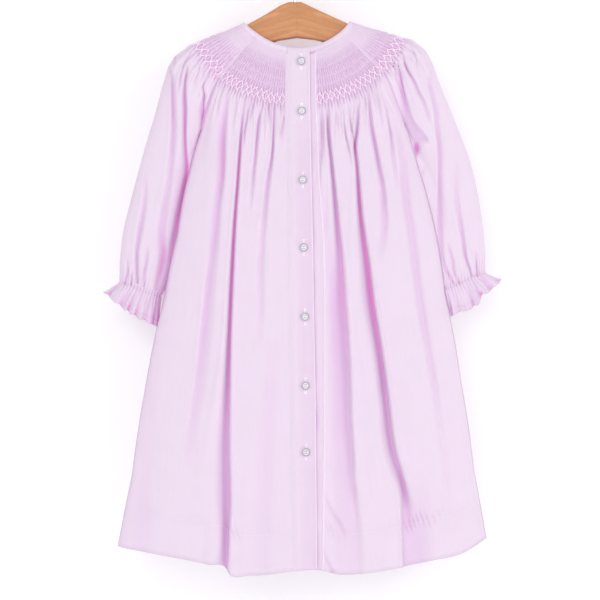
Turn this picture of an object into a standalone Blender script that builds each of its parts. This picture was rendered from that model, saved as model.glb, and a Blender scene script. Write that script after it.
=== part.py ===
"""Smocked child's dress with long raglan sleeves, hanging on a flat wooden hanger.

Sizes are in millimetres and turned to metres when the meshes are made.
across is measured from the middle of the hanger, to the right of a person looking at the front.
drop is measured down from the flat top of the hanger bar.
The origin is the inside top of the hook's bend, and the front of the dress faces -Y.
"""

import math

import bmesh
import bpy
import numpy as np

MM = 0.001

# Places that everything is measured from
TOP_OF_BAR = -62.0
RAY_ACROSS = 1.0
RAY_DROP = -20.0

# Cloth
WALL = 1.2
SEAM = 0.3
NECK_RADIUS = 66.0
YOKE_RADIUS = 73.0
SMOCK_RADIUS = 124.0
UNDERARM_RADIUS = 176.0
HEM_RADIUS = 595.0
BACK_NECK_DROP = 2.0
SMOCK_RELIEF = 0.7
BINDING_WALL = 2.0

# Button bands
BAND_WALL = 2.0
UNDER_BAND_WALL = 1.5
UNDER_BAND_LAP = 12.0

# Buttons
BUTTON_RADIUS = 4.7
BUTTON_THICK = 2.2
BUTTON_SIDES = 14

# Hanger and hook
BAR_THICK = 12.0
BAR_ROUNDING = 2.6
WIRE_RADIUS = 1.6
HOOK_RADIUS = 17.0

# Columns of the grids
FRONT_LEFT_COLUMNS = 40
FRONT_RIGHT_COLUMNS = 40
BACK_COLUMNS = 60
SLEEVE_COLUMNS = 40

# Rows of the body: side edges as angles from straight down, edge depths and middle depths
BODY_NAMES = ("radius", "left", "right", "front_edge", "back_edge", "front", "back")
BODY_ROWS = (
    (66, -38.4, 41.8, -9.0, 9.0, -11.0, 10.5),
    (73, -38.5, 42.0, -9.5, 9.5, -12.5, 11.5),
    (124, -39.3, 43.4, -12.0, 12.0, -18.0, 15.0),
    (137, -38.0, 41.9, -11.0, 11.0, -19.0, 15.5),
    (150, -36.5, 40.0, -9.0, 9.0, -20.0, 16.0),
    (163, -35.0, 38.5, -5.5, 5.0, -21.0, 16.5),
    (176, -33.4, 37.2, -1.15, -0.85, -22.0, 17.0),
    (221, -29.8, 33.0, -7.15, -6.85, -25.0, 18.0),
    (279, -25.7, 29.3, -9.15, -8.85, -28.0, 19.0),
    (347, -22.9, 25.2, -10.15, -9.85, -30.0, 20.0),
    (433, -20.7, 22.2, -11.15, -10.85, -33.0, 21.0),
    (523, -18.6, 19.8, -12.15, -11.85, -35.0, 22.0),
    (595, -17.7, 18.7, -12.15, -11.85, -37.0, 23.0),
)
OUTER_RADII = (73, 81, 91, 101, 111, 124, 137, 150, 163, 176, 205, 245, 290, 345, 410, 480, 540, 595)
INNER_RADII = (73, 91, 111, 124, 137, 150, 163, 176, 205, 245, 290, 345, 410, 480, 540, 595)

# Depth of the smocked pleats at each row, the cable rows drawn in
RELIEF_NAMES = ("radius", "relief")
RELIEF_ROWS = ((73, 0.35), (81, 0.8), (91, 0.45), (101, 0.9), (111, 0.55), (124, 1.0),
               (137, 0.6), (150, 0.2), (163, 0.0))

# Hem line of the front: how far its radius differs from the plain hem
HEM_NAMES = ("across", "longer")
HEM_ROWS = ((-180, 0), (-138, -4.4), (-89, -5), (-72, -3.5), (-68, 1), (-47, 1), (-5, -5), (19, -6.5),
            (43, -0.5), (76, 0.7), (101, 0.4), (135, 0), (163, 1), (190, -5))

# Button bands: edges across at each radius
BAND_NAMES = ("radius", "left", "free", "under")
BAND_ROWS = (
    (66, -10.0, 12.4, 17.8),
    (124, -10.0, 13.0, 18.6),
    (202, -9.0, 14.5, 22.0),
    (267, -8.2, 16.0, 26.5),
    (322, -7.4, 16.6, 27.5),
    (415, -6.0, 18.5, 27.4),
    (466, -5.2, 19.0, 27.0),
    (595, -3.5, 20.0, 26.0),
)

# Buttons: across and drop of each middle
BUTTON_ROWS = ((4.3, 60.7), (4.7, 111.0), (5.7, 180.0), (6.8, 247.7), (8.0, 316.8), (8.5, 385.5), (9.0, 453.7))

# Folds of the front: width to the left, width to the right, and points of across, drop, depth
FRONT_FOLDS = (
    (6, 6, ((-84, 82, 0.5), (-88, 110, 3.0), (-93, 140, 1.5), (-96, 160, 0.0))),
    (9, 6, ((-69, 92, 0.5), (-73, 130, 5.5), (-77, 180, 5.5), (-84, 240, 4.5), (-91, 290, 4.0),
            (-99, 345, 3.5), (-107, 430, 2.0), (-112, 480, 0.0))),
    (17, 9, ((-54, 98, 0.5), (-57, 150, 6.5), (-62, 220, 9.0), (-66, 290, 11.0), (-68, 350, 12.0),
             (-70, 450, 13.0), (-71, 520, 14.0), (-70, 600, 14.0))),
    (6, 5, ((-46, 98, 0.5), (-49, 118, 2.5), (-54, 128, 0.0))),
    (5, 6, ((-38, 102, 0.5), (-39, 140, 3.5), (-43, 175, 3.0), (-49, 206, 0.0))),
    (8, 7, ((-23.5, 104, 0.5), (-24, 155, 5.0), (-28, 190, 5.0), (-33, 225, 4.0), (-35.5, 280, 2.5),
            (-39, 345, 0.0))),
    (5, 5, ((-11, 106, 0.5), (-14, 122, 2.0), (-18, 134, 0.0))),
    (4, 4, ((23, 104, 0.5), (25, 125, 3.0), (23, 157, 0.0))),
    (16, 8, ((31, 104, 0.5), (31, 130, 4.0), (34, 165, 6.0), (39, 200, 7.5), (43, 250, 8.5),
             (47, 300, 9.0), (51, 380, 9.5), (55, 440, 9.0), (59, 500, 8.0), (62, 600, 5.0))),
    (5, 5, ((43, 103, 0.5), (47, 128, 3.0), (54, 158, 0.0))),
    (9, 13, ((61, 96, 0.5), (58, 146, 6.5), (63, 200, 8.5), (68, 250, 10.0), (74, 300, 11.0),
             (85, 365, 12.0), (96, 430, 13.0), (106, 490, 13.0), (107, 530, 12.0), (107, 600, 12.0))),
    (5, 6, ((71, 92, 0.5), (77, 130, 4.0), (83, 165, 5.0), (88, 195, 4.0), (88, 225, 2.0), (84, 250, 0.0))),
    (7, 9, ((84, 80, 0.5), (94, 125, 4.5), (101, 165, 5.0), (110, 210, 5.0), (118, 260, 4.5),
            (124, 310, 4.5), (135, 380, 4.5), (143, 440, 4.0), (152, 500, 2.0), (155, 530, 0.0))),
    (5, 5, ((92, 74, 0.5), (101, 108, 3.0), (106, 135, 0.0))),
)

# Folds of the back, in the same columns
BACK_FOLDS = (
    (6, 7, ((-80, 92, 0.5), (-86, 130, 4.0), (-95, 190, 4.0), (-104, 260, 2.5), (-112, 330, 0.0))),
    (12, 15, ((-58, 102, 0.5), (-62, 150, 5.0), (-72, 230, 7.0), (-82, 320, 8.5), (-92, 420, 9.5),
              (-100, 520, 10.0), (-104, 600, 10.0))),
    (6, 6, ((-44, 106, 0.5), (-46, 140, 3.5), (-51, 185, 2.5), (-56, 225, 0.0))),
    (11, 11, ((-27, 110, 0.5), (-29, 160, 5.0), (-33, 240, 6.5), (-38, 330, 6.5), (-42, 430, 5.0),
              (-45, 520, 3.0), (-46, 600, 2.0))),
    (6, 6, ((-10, 112, 0.5), (-11, 145, 3.0), (-13, 190, 0.0))),
    (12, 13, ((4, 112, 0.5), (6, 165, 5.0), (9, 250, 7.0), (13, 350, 8.5), (18, 450, 9.5),
              (22, 540, 10.0), (23, 600, 10.0))),
    (6, 6, ((22, 111, 0.5), (25, 150, 3.5), (30, 205, 2.5), (33, 250, 0.0))),
    (10, 10, ((40, 107, 0.5), (44, 155, 5.0), (52, 235, 5.5), (60, 330, 5.0), (67, 420, 3.0), (72, 500, 0.0))),
    (14, 13, ((57, 102, 0.5), (65, 150, 5.0), (78, 230, 7.5), (92, 320, 9.0), (104, 420, 10.0),
              (113, 520, 10.0), (117, 600, 10.0))),
    (6, 6, ((76, 94, 0.5), (85, 135, 4.0), (98, 200, 3.5), (110, 270, 0.0))),
)

# Columns that run down the long folds: column, number of the fold, and points that it runs on through
LEFT_GUIDES = (
    (9, 1, ((-119, 540), (-124, 600))),
    (17, 2, ()),
    (33, 5, ((-33, 450), (-26, 600))),
)
RIGHT_GUIDES = (
    (6, 8, ()),
    (22, 10, ()),
    (28, 11, ((101, 345), (118, 460), (129, 600))),
    (36, 12, ((161, 600),)),
)
BACK_GUIDES = (
    (10, 1, ()),
    (20, 3, ()),
    (30, 5, ()),
    (41, 7, ((76, 600),)),
    (46, 8, ()),
)

# Sleeve stations below the yoke: inner point, outer point, half depth, middle depth
SLEEVE_NAMES = ("in_across", "in_drop", "out_across", "out_drop", "half", "middle")
LEFT_YOKE_OUTER = ((66, -53.0, 20.6), (73, -58.5, 23.4), (105, -86, 35.5), (124, -103.0, 43.8),
                   (137, -112.5, 49.0), (150, -122.0, 55.5), (163, -129.5, 66.0), (176, -136.0, 86.0))
LEFT_STATIONS = (
    (-101, 150, -143, 112, 15, 1.5),
    (-106, 172, -151, 138, 15, 3.5),
    (-112, 205, -160, 170, 15, 5.5),
    (-118, 235, -169.5, 205, 15, 6.5),
    (-124, 262, -176, 233, 14, 7.0),
    (-129, 281, -179, 260, 12.5, 7.0),
    (-136, 296, -179.5, 281, 11, 6.0),
    (-138, 309, -186, 287, 12.5, 6.0),
    (-140.5, 327, -193, 293, 15, 6.0),
)
RIGHT_YOKE_OUTER = ((66, 53.0, 19.0), (73, 58.0, 21.4), (105, 90, 32), (124, 107.0, 38.0),
                    (137, 120.5, 43.5), (150, 129.0, 51.0), (163, 136.5, 63.0), (176, 144.0, 83.0))
RIGHT_STATIONS = (
    (114, 142, 154, 107, 15, 1.5),
    (121, 165, 165, 134, 15, 3.5),
    (128, 196, 176, 164, 15, 5.5),
    (134, 222, 183.5, 198, 15, 6.5),
    (140, 249, 188, 228, 14, 7.0),
    (144, 270, 190, 252, 12.5, 7.0),
    (148, 288, 190, 271, 11, 6.0),
    (150.5, 300, 197, 276, 12.5, 6.0),
    (154, 317, 205.5, 280, 15, 6.0),
)
CUFF_STATION = 6
RUFFLE_WAVE = 2.6
CUFF_RELIEF = 0.7

# Folds of the sleeves' fronts and backs, in the same columns as the body's folds
LEFT_SLEEVE_FOLDS = (
    (8, 9, ((-109, 60, 0.5), (-113, 90, 4.0), (-113, 142, 3.5), (-113, 172, 2.0), (-115, 200, 0.0))),
    (8, 8, ((-126, 62, 0.5), (-125, 110, 2.0), (-126, 150, 2.5), (-131, 193, 2.0), (-137, 230, 0.0))),
    (8, 8, ((-152, 165, 0.0), (-157, 205, 1.6), (-161, 245, 2.2), (-161.5, 284, 1.0))),
    (6, 6, ((-148, 235, 0.0), (-150, 262, 1.5), (-152, 285, 0.8))),
)
RIGHT_SLEEVE_FOLDS = (
    (7, 9, ((101, 64, 0.5), (106, 103, 4.0), (112, 125, 2.5), (118, 150, 0.0))),
    (9, 9, ((135, 66, 0.5), (133, 88, 2.0), (138, 125, 3.0), (142, 183, 3.5), (148, 230, 3.0),
            (154, 268, 1.6), (160, 286, 0.8))),
    (8, 8, ((161, 200, 0.0), (165, 232, 2.2), (172, 262, 1.6), (176, 276, 0.8))),
    (6, 6, ((155, 240, 0.0), (159, 264, 1.0), (164, 284, 0.5))),
)
LEFT_SLEEVE_BACK_FOLDS = (
    (9, 9, ((-106, 72, 0.5), (-116, 110, 3.0), (-124, 160, 3.0), (-134, 215, 2.0), (-140, 250, 0.0))),
    (8, 8, ((-140, 170, 0.0), (-150, 220, 2.0), (-158, 270, 1.6), (-160, 285, 0.8))),
)
RIGHT_SLEEVE_BACK_FOLDS = (
    (9, 9, ((110, 70, 0.5), (121, 110, 3.0), (130, 160, 3.0), (140, 215, 2.0), (147, 255, 0.0))),
    (8, 8, ((148, 160, 0.0), (160, 215, 2.0), (169, 262, 1.6), (172, 276, 0.8))),
)

# Under side of the hanger bar, from the left tip to the right tip
BAR_UNDERSIDE = ((-126, 66), (-121, 71.5), (-112, 71), (-88, 62), (-60, 52), (-36, 44.5), (-18, 38.5),
                 (0, 35.8), (18, 37.8), (32, 41.5), (60, 50), (90, 59), (113, 66), (123, 66.5), (128, 61))


def named(rows, names, name, at):
    """Value of a named column at a place along the table's first column."""
    data = np.asarray(rows, dtype=float)
    return np.interp(at, data[:, 0], data[:, names.index(name)])


def body(name, radius):
    return float(named(BODY_ROWS, BODY_NAMES, name, radius))


def band(name, radius):
    return float(named(BAND_ROWS, BAND_NAMES, name, radius))


def place(across, depth, drop):
    """Point in the frame of the part from across, depth and drop."""
    return np.array((across, depth, TOP_OF_BAR - drop))


def ray(radius, degrees):
    """Across and drop of a point on a ray from the middle of the yoke's rings."""
    turn = math.radians(degrees)
    return RAY_ACROSS + radius * math.sin(turn), RAY_DROP + radius * math.cos(turn)


def degrees_at(radius, across):
    return math.degrees(math.asin((across - RAY_ACROSS) / radius))


def bell(distance, width):
    """Soft trough, one in the middle and none beyond its width."""
    if abs(distance) >= width:
        return 0.0
    return 0.5 + 0.5 * math.cos(math.pi * distance / width)


def fold_depth(folds, across, drop):
    """Depth of all folds of a table at one point."""
    total = 0.0
    for left_width, right_width, points in folds:
        if drop <= points[0][1] or drop >= points[-1][1]:
            continue
        line = np.asarray(points, dtype=float)
        middle = np.interp(drop, line[:, 1], line[:, 0])
        depth = np.interp(drop, line[:, 1], line[:, 2])
        side = across - middle
        total += depth * bell(side, left_width if side < 0 else right_width)
    return total


def rounded(part):
    """Rise of a panel from its side edge to its middle and down to the other edge."""
    return max(0.0, 4.0 * part * (1.0 - part)) ** 0.6


def longer(across, radius):
    """Extra length towards the hem, so that its edge runs as it hangs."""
    share = min(1.0, max(0.0, (radius - 400.0) / (HEM_RADIUS - 400.0)))
    return share * float(named(HEM_ROWS, HEM_NAMES, "longer", across))


def front_point(radius, degrees):
    """Outer point of the front at a radius and an angle."""
    left = body("left", radius)
    right = body("right", radius)
    part = min(1.0, max(0.0, (degrees - left) / (right - left)))
    across, drop = ray(radius, degrees)
    across, drop = ray(radius + longer(across, radius), degrees)
    rise = rounded(part)
    edge = body("front_edge", radius)
    depth = edge + (body("front", radius) - edge) * rise
    depth += fold_depth(FRONT_FOLDS, across, drop) * min(1.0, 1.25 * rise)
    return place(across, depth, drop)


def back_point(radius, degrees):
    """Outer point of the back at a radius and an angle."""
    left = body("left", radius)
    right = body("right", radius)
    part = min(1.0, max(0.0, (degrees - left) / (right - left)))
    lower = BACK_NECK_DROP * rounded(part) * max(0.0, (SMOCK_RADIUS - radius) / (SMOCK_RADIUS - YOKE_RADIUS))
    across, drop = ray(radius + lower, degrees)
    rise = rounded(part)
    edge = body("back_edge", radius)
    depth = edge + (body("back", radius) - edge) * rise
    depth -= fold_depth(BACK_FOLDS, across, drop) * min(1.0, 1.25 * rise)
    return place(across, depth, drop)


def even(points, count):
    """The same line drawn with evenly spaced points."""
    line = np.asarray(points)
    steps = np.linalg.norm(np.diff(line, axis=0), axis=1)
    length = np.concatenate(((0.0,), np.cumsum(steps)))
    wanted = np.linspace(0.0, length[-1], count)
    return np.stack([np.interp(wanted, length, line[:, k]) for k in range(3)], axis=1)


def sleeve_line(inner, outer, seam, half, middle, bow, count):
    """Line round a sleeve, from the front seam over the outer edge to the back seam."""
    dense = []
    for step in range(181):
        turn = math.pi * step / 180.0
        reach = max(0.0, math.sin(turn)) ** 0.6
        swing = math.copysign(abs(math.cos(turn)) ** 0.6, math.cos(turn))
        open_up = math.sin(min(1.0, reach / 0.45) * math.pi / 2.0) ** 0.7
        depth = middle - swing * (seam + (half - seam) * open_up)
        across = inner[0] + (outer[0] - inner[0]) * reach
        drop = inner[1] + (outer[1] - inner[1]) * reach
        lift = bow * 4.0 * reach * (1.0 - reach)
        side = math.copysign(1.0, outer[0])
        chord = math.hypot(outer[0] - inner[0], outer[1] - inner[1])
        across += side * lift * abs(outer[1] - inner[1]) / chord
        drop += lift * abs(outer[0] - inner[0]) / chord
        dense.append(place(across, depth, drop))
    return even(dense, count)


def yoke_line(side, radius, gap, count):
    """Sleeve line in the smocked yoke, its ends one seam away from the body's edges."""
    outer_rows = LEFT_YOKE_OUTER if side < 0 else RIGHT_YOKE_OUTER
    degrees = body("left" if side < 0 else "right", radius)
    across, drop = ray(radius, degrees)
    inner = (across + side * gap, drop)
    table = np.asarray(outer_rows, dtype=float)
    outer = (float(np.interp(radius, table[:, 0], table[:, 1])), float(np.interp(radius, table[:, 0], table[:, 2])))
    seam = 0.5 * (body("back_edge", radius) - body("front_edge", radius))
    middle = 0.5 * (body("back_edge", radius) + body("front_edge", radius))
    if radius >= UNDERARM_RADIUS:
        seam = 0.0
    half = float(np.interp(radius, (66, 73, 124, 176), (9.2, 9.8, 15.0, 15.0)))
    bow = float(np.interp(radius, (66, 124, 150), (0.6, 1.5, 0.0)))
    return sleeve_line(inner, outer, seam, half, middle, bow, count)


def unit(vectors):
    length = np.linalg.norm(vectors, axis=-1, keepdims=True)
    return vectors / np.maximum(length, 1e-9)


def outward(grid, away_from):
    """Outward direction at each point of a grid."""
    along = np.gradient(grid, axis=0)
    over = np.gradient(grid, axis=1)
    normal = unit(np.cross(over, along))
    if np.sum(normal * (grid - away_from)) < 0.0:
        normal = -normal
    return normal


def cloth_wall(name, outer, inner, picked, closed_from, material, home):
    """Closed wall between an outer grid and an inner grid with the same columns.

    picked lists the outer rows that the inner rows stand under. From the row closed_from on,
    the first and last columns are one line, so that the wall becomes a tube.
    """
    rows, columns = outer.shape[:2]
    points = []
    outer_index = np.zeros((rows, columns), dtype=int)
    inner_index = np.zeros((len(picked), columns), dtype=int)
    for grid, index, numbers in ((outer, outer_index, range(rows)), (inner, inner_index, picked)):
        for i, row in enumerate(numbers):
            for j in range(columns):
                if j == columns - 1 and row >= closed_from:
                    index[i, j] = index[i, 0]
                    continue
                index[i, j] = len(points)
                points.append(tuple(grid[i, j] * MM))
    faces = []
    for index, flip in ((outer_index, False), (inner_index, True)):
        for i in range(index.shape[0] - 1):
            for j in range(columns - 1):
                a, b = int(index[i, j]), int(index[i, j + 1])
                c, d = int(index[i + 1, j + 1]), int(index[i + 1, j])
                if (i + j) % 2:
                    pair = ((a, b, c), (a, c, d))
                else:
                    pair = ((a, b, d), (b, c, d))
                faces.extend(tuple(reversed(face)) if flip else face for face in pair)
    for out_row, in_row in ((outer_index[0], inner_index[0]), (outer_index[-1], inner_index[-1])):
        for j in range(columns - 1):
            faces.append((int(out_row[j]), int(out_row[j + 1]), int(in_row[j + 1]), int(in_row[j])))
    for column in (0, columns - 1):
        for i in range(len(picked) - 1):
            first, last = picked[i], picked[i + 1]
            if first >= closed_from:
                break
            half_way = (first + last) // 2
            low, high = int(inner_index[i, column]), int(inner_index[i + 1, column])
            for row in range(first, last):
                near = low if row < half_way else high
                faces.append((int(outer_index[row, column]), int(outer_index[row + 1, column]), near))
            faces.append((low, int(outer_index[half_way, column]), high))
    return add_mesh(name, points, faces, material, home)


def add_mesh(name, points, faces, material, home, smooth=False):
    """One closed object from points in metres and faces."""
    mesh = bpy.data.meshes.new(name)
    mesh.from_pydata(points, [], faces)
    shape = bmesh.new()
    shape.from_mesh(mesh)
    bmesh.ops.recalc_face_normals(shape, faces=shape.faces)
    shape.to_mesh(mesh)
    shape.free()
    mesh.materials.append(material)
    for polygon in mesh.polygons:
        polygon.use_smooth = smooth
    thing = bpy.data.objects.new(name, mesh)
    home.objects.link(thing)
    return thing


def relief_at(radius):
    return float(named(RELIEF_ROWS, RELIEF_NAMES, "relief", radius)) * SMOCK_RELIEF


def picked_rows():
    return [OUTER_RADII.index(radius) for radius in INNER_RADII]


def column_degrees(radius, start, end, columns, folds, guides):
    """Angle of each column: evenly spaced in the smocking, then down along the long folds."""
    numbers = [0]
    degrees = [start]
    for column, number, onward in guides:
        spots = [(spot[0], spot[1]) for spot in folds[number][2]] + list(onward)
        radii = [math.hypot(x - RAY_ACROSS, y - RAY_DROP) for x, y in spots]
        turns = [math.degrees(math.atan2(x - RAY_ACROSS, y - RAY_DROP)) for x, y in spots]
        numbers.append(column)
        degrees.append(float(np.interp(radius, radii, turns)))
    numbers.append(columns)
    degrees.append(end)
    steps = np.arange(columns + 1)
    level = start + (end - start) * steps / columns
    share = min(1.0, max(0.0, (radius - SMOCK_RADIUS) / 26.0))
    return level * (1.0 - share) + np.interp(steps, numbers, degrees) * share


def body_panel(name, edges, point, face, columns, folds, guides, forced, material, home):
    """Front or back panel: pleats raised on the outside over a plain inside."""
    plain = np.zeros((len(OUTER_RADII), columns + 1, 3))
    for i, radius in enumerate(OUTER_RADII):
        start, end = edges(radius)
        for j, degrees in enumerate(column_degrees(radius, start, end, columns, folds, guides)):
            plain[i, j] = point(radius, degrees)
    normal = outward(plain, np.array((0.0, -face * 4000.0, -300.0)))
    inside = -normal
    for i, radius in enumerate(OUTER_RADII):
        for column, side in ((0, -1), (columns, 1)):
            inside[i, column] = forced(radius, side, inside[i, column])
    outer = plain.copy()
    for i, radius in enumerate(OUTER_RADII):
        for j in range(1, columns):
            outer[i, j] += normal[i, j] * relief_at(radius) * (j % 2)
    picked = picked_rows()
    inner = (plain + inside * WALL)[picked]
    return cloth_wall(name, outer, inner, picked, 999, material, home)


def side_direction(face):
    """Inward direction on the side edges: straight back in the yoke, then towards the middle."""
    def pick(radius, side, own):
        if radius < UNDERARM_RADIUS:
            return np.array((0.0, -face, 0.0))
        return np.array((-side, 0.0, 0.0))
    return pick


def make_front_left(material, home):
    def edges(radius):
        return body("left", radius), degrees_at(radius, band("left", radius) - SEAM)

    sides = side_direction(-1.0)

    def forced(radius, side, own):
        return sides(radius, side, own) if side < 0 else np.array((0.0, 1.0, 0.0))

    return body_panel("front_left", edges, front_point, -1.0, FRONT_LEFT_COLUMNS,
                      FRONT_FOLDS, LEFT_GUIDES, forced, material, home)


def make_front_right(material, home):
    def edges(radius):
        return degrees_at(radius, band("under", radius) + SEAM), body("right", radius)

    sides = side_direction(-1.0)

    def forced(radius, side, own):
        return sides(radius, side, own) if side > 0 else np.array((0.0, 1.0, 0.0))

    def point(radius, degrees):
        spot = front_point(radius, degrees)
        spot[1] += (BAND_WALL - 0.8 + SEAM) * bell(spot[0] - band("under", radius), 22.0)
        return spot

    return body_panel("front_right", edges, point, -1.0, FRONT_RIGHT_COLUMNS,
                      FRONT_FOLDS, RIGHT_GUIDES, forced, material, home)


def make_back(material, home):
    def edges(radius):
        return body("left", radius), body("right", radius)

    return body_panel("back", edges, back_point, 1.0, BACK_COLUMNS,
                      BACK_FOLDS, BACK_GUIDES, side_direction(1.0), material, home)


def band_surface(radius, across, back_by):
    """Point on the flat middle of the front, moved back by a distance."""
    spot = front_point(radius, degrees_at(radius, 4.0))
    degrees = degrees_at(radius, across)
    across, drop = ray(radius + longer(across, radius), degrees)
    return place(across, spot[1] + back_by, drop)


def make_band(name, left, right, back_by, wall, material, home):
    """Straight folded band down the front between two edges."""
    radii = (YOKE_RADIUS, SMOCK_RADIUS) + tuple(r for r in OUTER_RADII if r > 150)
    outer = np.zeros((len(radii), 3, 3))
    for i, radius in enumerate(radii):
        for j in range(3):
            across = left(radius) + (right(radius) - left(radius)) * j / 2.0
            outer[i, j] = band_surface(radius, across, back_by)
    inner = outer + np.array((0.0, wall, 0.0))
    return cloth_wall(name, outer, inner, list(range(len(radii))), 999, material, home)


def make_binding(material, home):
    """Bias strip round the neck, its ends crossed at the front."""
    rings = []
    for radius, raised in ((NECK_RADIUS, 0.2), (YOKE_RADIUS - SEAM, 0.2)):
        line = []
        left = body("left", radius)
        right = body("right", radius)
        start = degrees_at(radius, 9.8)
        for degrees in np.linspace(start, left, 10)[:-1]:
            line.append(front_point(radius, degrees))
        line.extend(yoke_line(-1, radius, 0.0, 11)[:-1])
        for degrees in np.linspace(left, right, 17)[:-1]:
            line.append(back_point(radius, degrees))
        line.extend(yoke_line(1, radius, 0.0, 11)[::-1][:-1])
        end = degrees_at(radius, -2.0)
        for degrees in np.linspace(right, end, 11):
            spot = front_point(radius, degrees)
            across = spot[0]
            share = min(1.0, max(0.0, (46.0 - across) / 30.0))
            spot[1] += (BINDING_WALL + 0.35) * share * share * (3.0 - 2.0 * share)
            line.append(spot)
        rings.append(np.array(line))
    grid = np.array(rings)
    normal = outward(grid, np.array((0.0, 0.0, TOP_OF_BAR)))
    normal[0] = normal[1] = unit(normal[0] + normal[1])
    normal[:, :9] = normal[:, -11:] = (0.0, -1.0, 0.0)
    normal[:, 19:35] = (0.0, 1.0, 0.0)
    outer = grid + normal * 0.2
    inner = outer - normal * BINDING_WALL
    return cloth_wall("neck_binding", outer, inner, [0, 1], 999, material, home)


def sleeve_stations(side):
    """Lines round the sleeve from the neck seam to the ruffle's edge."""
    lines = []
    radii = [radius for radius in OUTER_RADII if radius <= UNDERARM_RADIUS]
    for radius in radii:
        lines.append(yoke_line(side, radius, SEAM, SLEEVE_COLUMNS + 1))
    for row in LEFT_STATIONS if side < 0 else RIGHT_STATIONS:
        values = dict(zip(SLEEVE_NAMES, row))
        inner = (values["in_across"], values["in_drop"])
        outer = (values["out_across"], values["out_drop"])
        lines.append(sleeve_line(inner, outer, 0.0, values["half"], values["middle"], 0.0, SLEEVE_COLUMNS + 1))
    return np.array(lines), radii


def make_sleeve(side, material, home):
    """Raglan sleeve: smocked head open to the body, closed tube, elastic gather and ruffle."""
    plain, radii = sleeve_stations(side)
    folds = LEFT_SLEEVE_FOLDS if side < 0 else RIGHT_SLEEVE_FOLDS
    back_folds = LEFT_SLEEVE_BACK_FOLDS if side < 0 else RIGHT_SLEEVE_BACK_FOLDS
    rows, columns = plain.shape[:2]
    closed_from = len(radii) - 1
    cuff = closed_from + 1 + CUFF_STATION
    middle = plain.mean(axis=1, keepdims=True)
    for i in range(rows):
        for j in range(1, columns - 1):
            spot = plain[i, j]
            turn = math.sin(math.pi * j / (columns - 1)) ** 0.5
            reach = min(1.0, abs(spot[1] - middle[i, 0, 1]) / 8.0) * turn
            drop = TOP_OF_BAR - spot[2]
            if spot[1] < middle[i, 0, 1]:
                spot[1] += fold_depth(folds, spot[0], drop) * reach
            else:
                spot[1] -= fold_depth(back_folds, spot[0], drop) * reach
    normal = outward(plain, middle)
    inside = -normal
    for i in range(rows):
        if i < closed_from:
            inside[i, 0] = (0.0, 1.0, 0.0)
            inside[i, -1] = (0.0, -1.0, 0.0)
        else:
            direction = unit(middle[i, 0] - plain[i, 0])
            inside[i, 0] = direction
            inside[i, -1] = direction
    outer = plain.copy()
    inner = plain.copy()
    last = rows - 1
    for i in range(rows):
        for j in range(1, columns - 1):
            if i < len(radii):
                outer[i, j] += normal[i, j] * relief_at(OUTER_RADII[i]) * (j % 2)
            elif abs(i - cuff) <= 1 and i != last:
                outer[i, j] += normal[i, j] * CUFF_RELIEF * (j % 2)
    waves = (columns - 1) // 4
    for i, share in ((cuff + 1, 0.5), (last, 1.0)):
        for j in range(1, columns - 1):
            swing = RUFFLE_WAVE * share * math.sin(2.0 * math.pi * waves * j / (columns - 1))
            outer[i, j] += normal[i, j] * swing
            inner[i, j] += normal[i, j] * swing
    picked = [i for i in range(rows) if i >= len(radii) or OUTER_RADII[i] in INNER_RADII]
    inner = (inner + inside * WALL)[picked]
    name = "sleeve_left" if side < 0 else "sleeve_right"
    return cloth_wall(name, outer, inner, picked, closed_from, material, home)


def make_button(number, across, drop, material, home):
    """Round button with a rim and a sunk middle, lying one seam off the upper band."""
    radius = math.hypot(across - RAY_ACROSS, drop - RAY_DROP)
    here = band_surface(radius, across, -0.8)
    below = band_surface(radius + 5.0, across, -0.8)
    above = band_surface(radius - 5.0, across, -0.8)
    down = unit(below - above)
    right = np.array((1.0, 0.0, 0.0))
    out = unit(np.cross(down, right))
    if out[1] > 0:
        out = -out
    profile = ((4.2, 0.0), (BUTTON_RADIUS, 0.6), (BUTTON_RADIUS, 1.5), (4.1, BUTTON_THICK), (3.1, 1.6))
    points = []
    for i in range(BUTTON_SIDES):
        turn = 2.0 * math.pi * i / BUTTON_SIDES
        around = right * math.cos(turn) + down * math.sin(turn)
        for reach, height in profile:
            points.append(tuple((here + around * reach + out * (SEAM + height)) * MM))
    back = len(points)
    points.append(tuple((here + out * SEAM) * MM))
    points.append(tuple((here + out * (SEAM + 1.6)) * MM))
    faces = []
    size = len(profile)
    for i in range(BUTTON_SIDES):
        a = i * size
        b = ((i + 1) % BUTTON_SIDES) * size
        faces.append((back, b, a))
        for k in range(size - 1):
            faces.append((a + k, b + k, b + k + 1, a + k + 1))
        faces.append((a + size - 1, b + size - 1, back + 1))
    return add_mesh("button_%d" % number, points, faces, material, home, smooth=True)


def bar_outline():
    """Outline of the hanger bar, its top one seam under the cloth that hangs on it."""
    top = []
    for table, side in ((LEFT_YOKE_OUTER, -1), (RIGHT_YOKE_OUTER, 1)):
        rows = np.asarray(table, dtype=float)
        steps = []
        for radius in (66, 73, 88, 105, 124, 137, 147):
            across = float(np.interp(radius, rows[:, 0], rows[:, 1]))
            drop = float(np.interp(radius, rows[:, 0], rows[:, 2]))
            before = float(np.interp(radius + 1.0, rows[:, 0], rows[:, 1])) - across
            fall = float(np.interp(radius + 1.0, rows[:, 0], rows[:, 2])) - drop
            length = math.hypot(before, fall)
            under = BINDING_WALL + 4.0 * SEAM if radius <= YOKE_RADIUS else WALL + SEAM
            steps.append((across - side * under * abs(fall) / length, drop + under * abs(before) / length))
        top.append(steps)
    left = [(-8.5, 0.0), (-17.0, 3.4), (-31.0, 12.2)]
    right = [(4.0, 0.0), (8.0, 1.6), (22.0, 8.4)]
    line = left[::-1]
    line = list(reversed(top[0])) + line + right + list(top[1])
    return line + list(reversed(BAR_UNDERSIDE))


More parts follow.
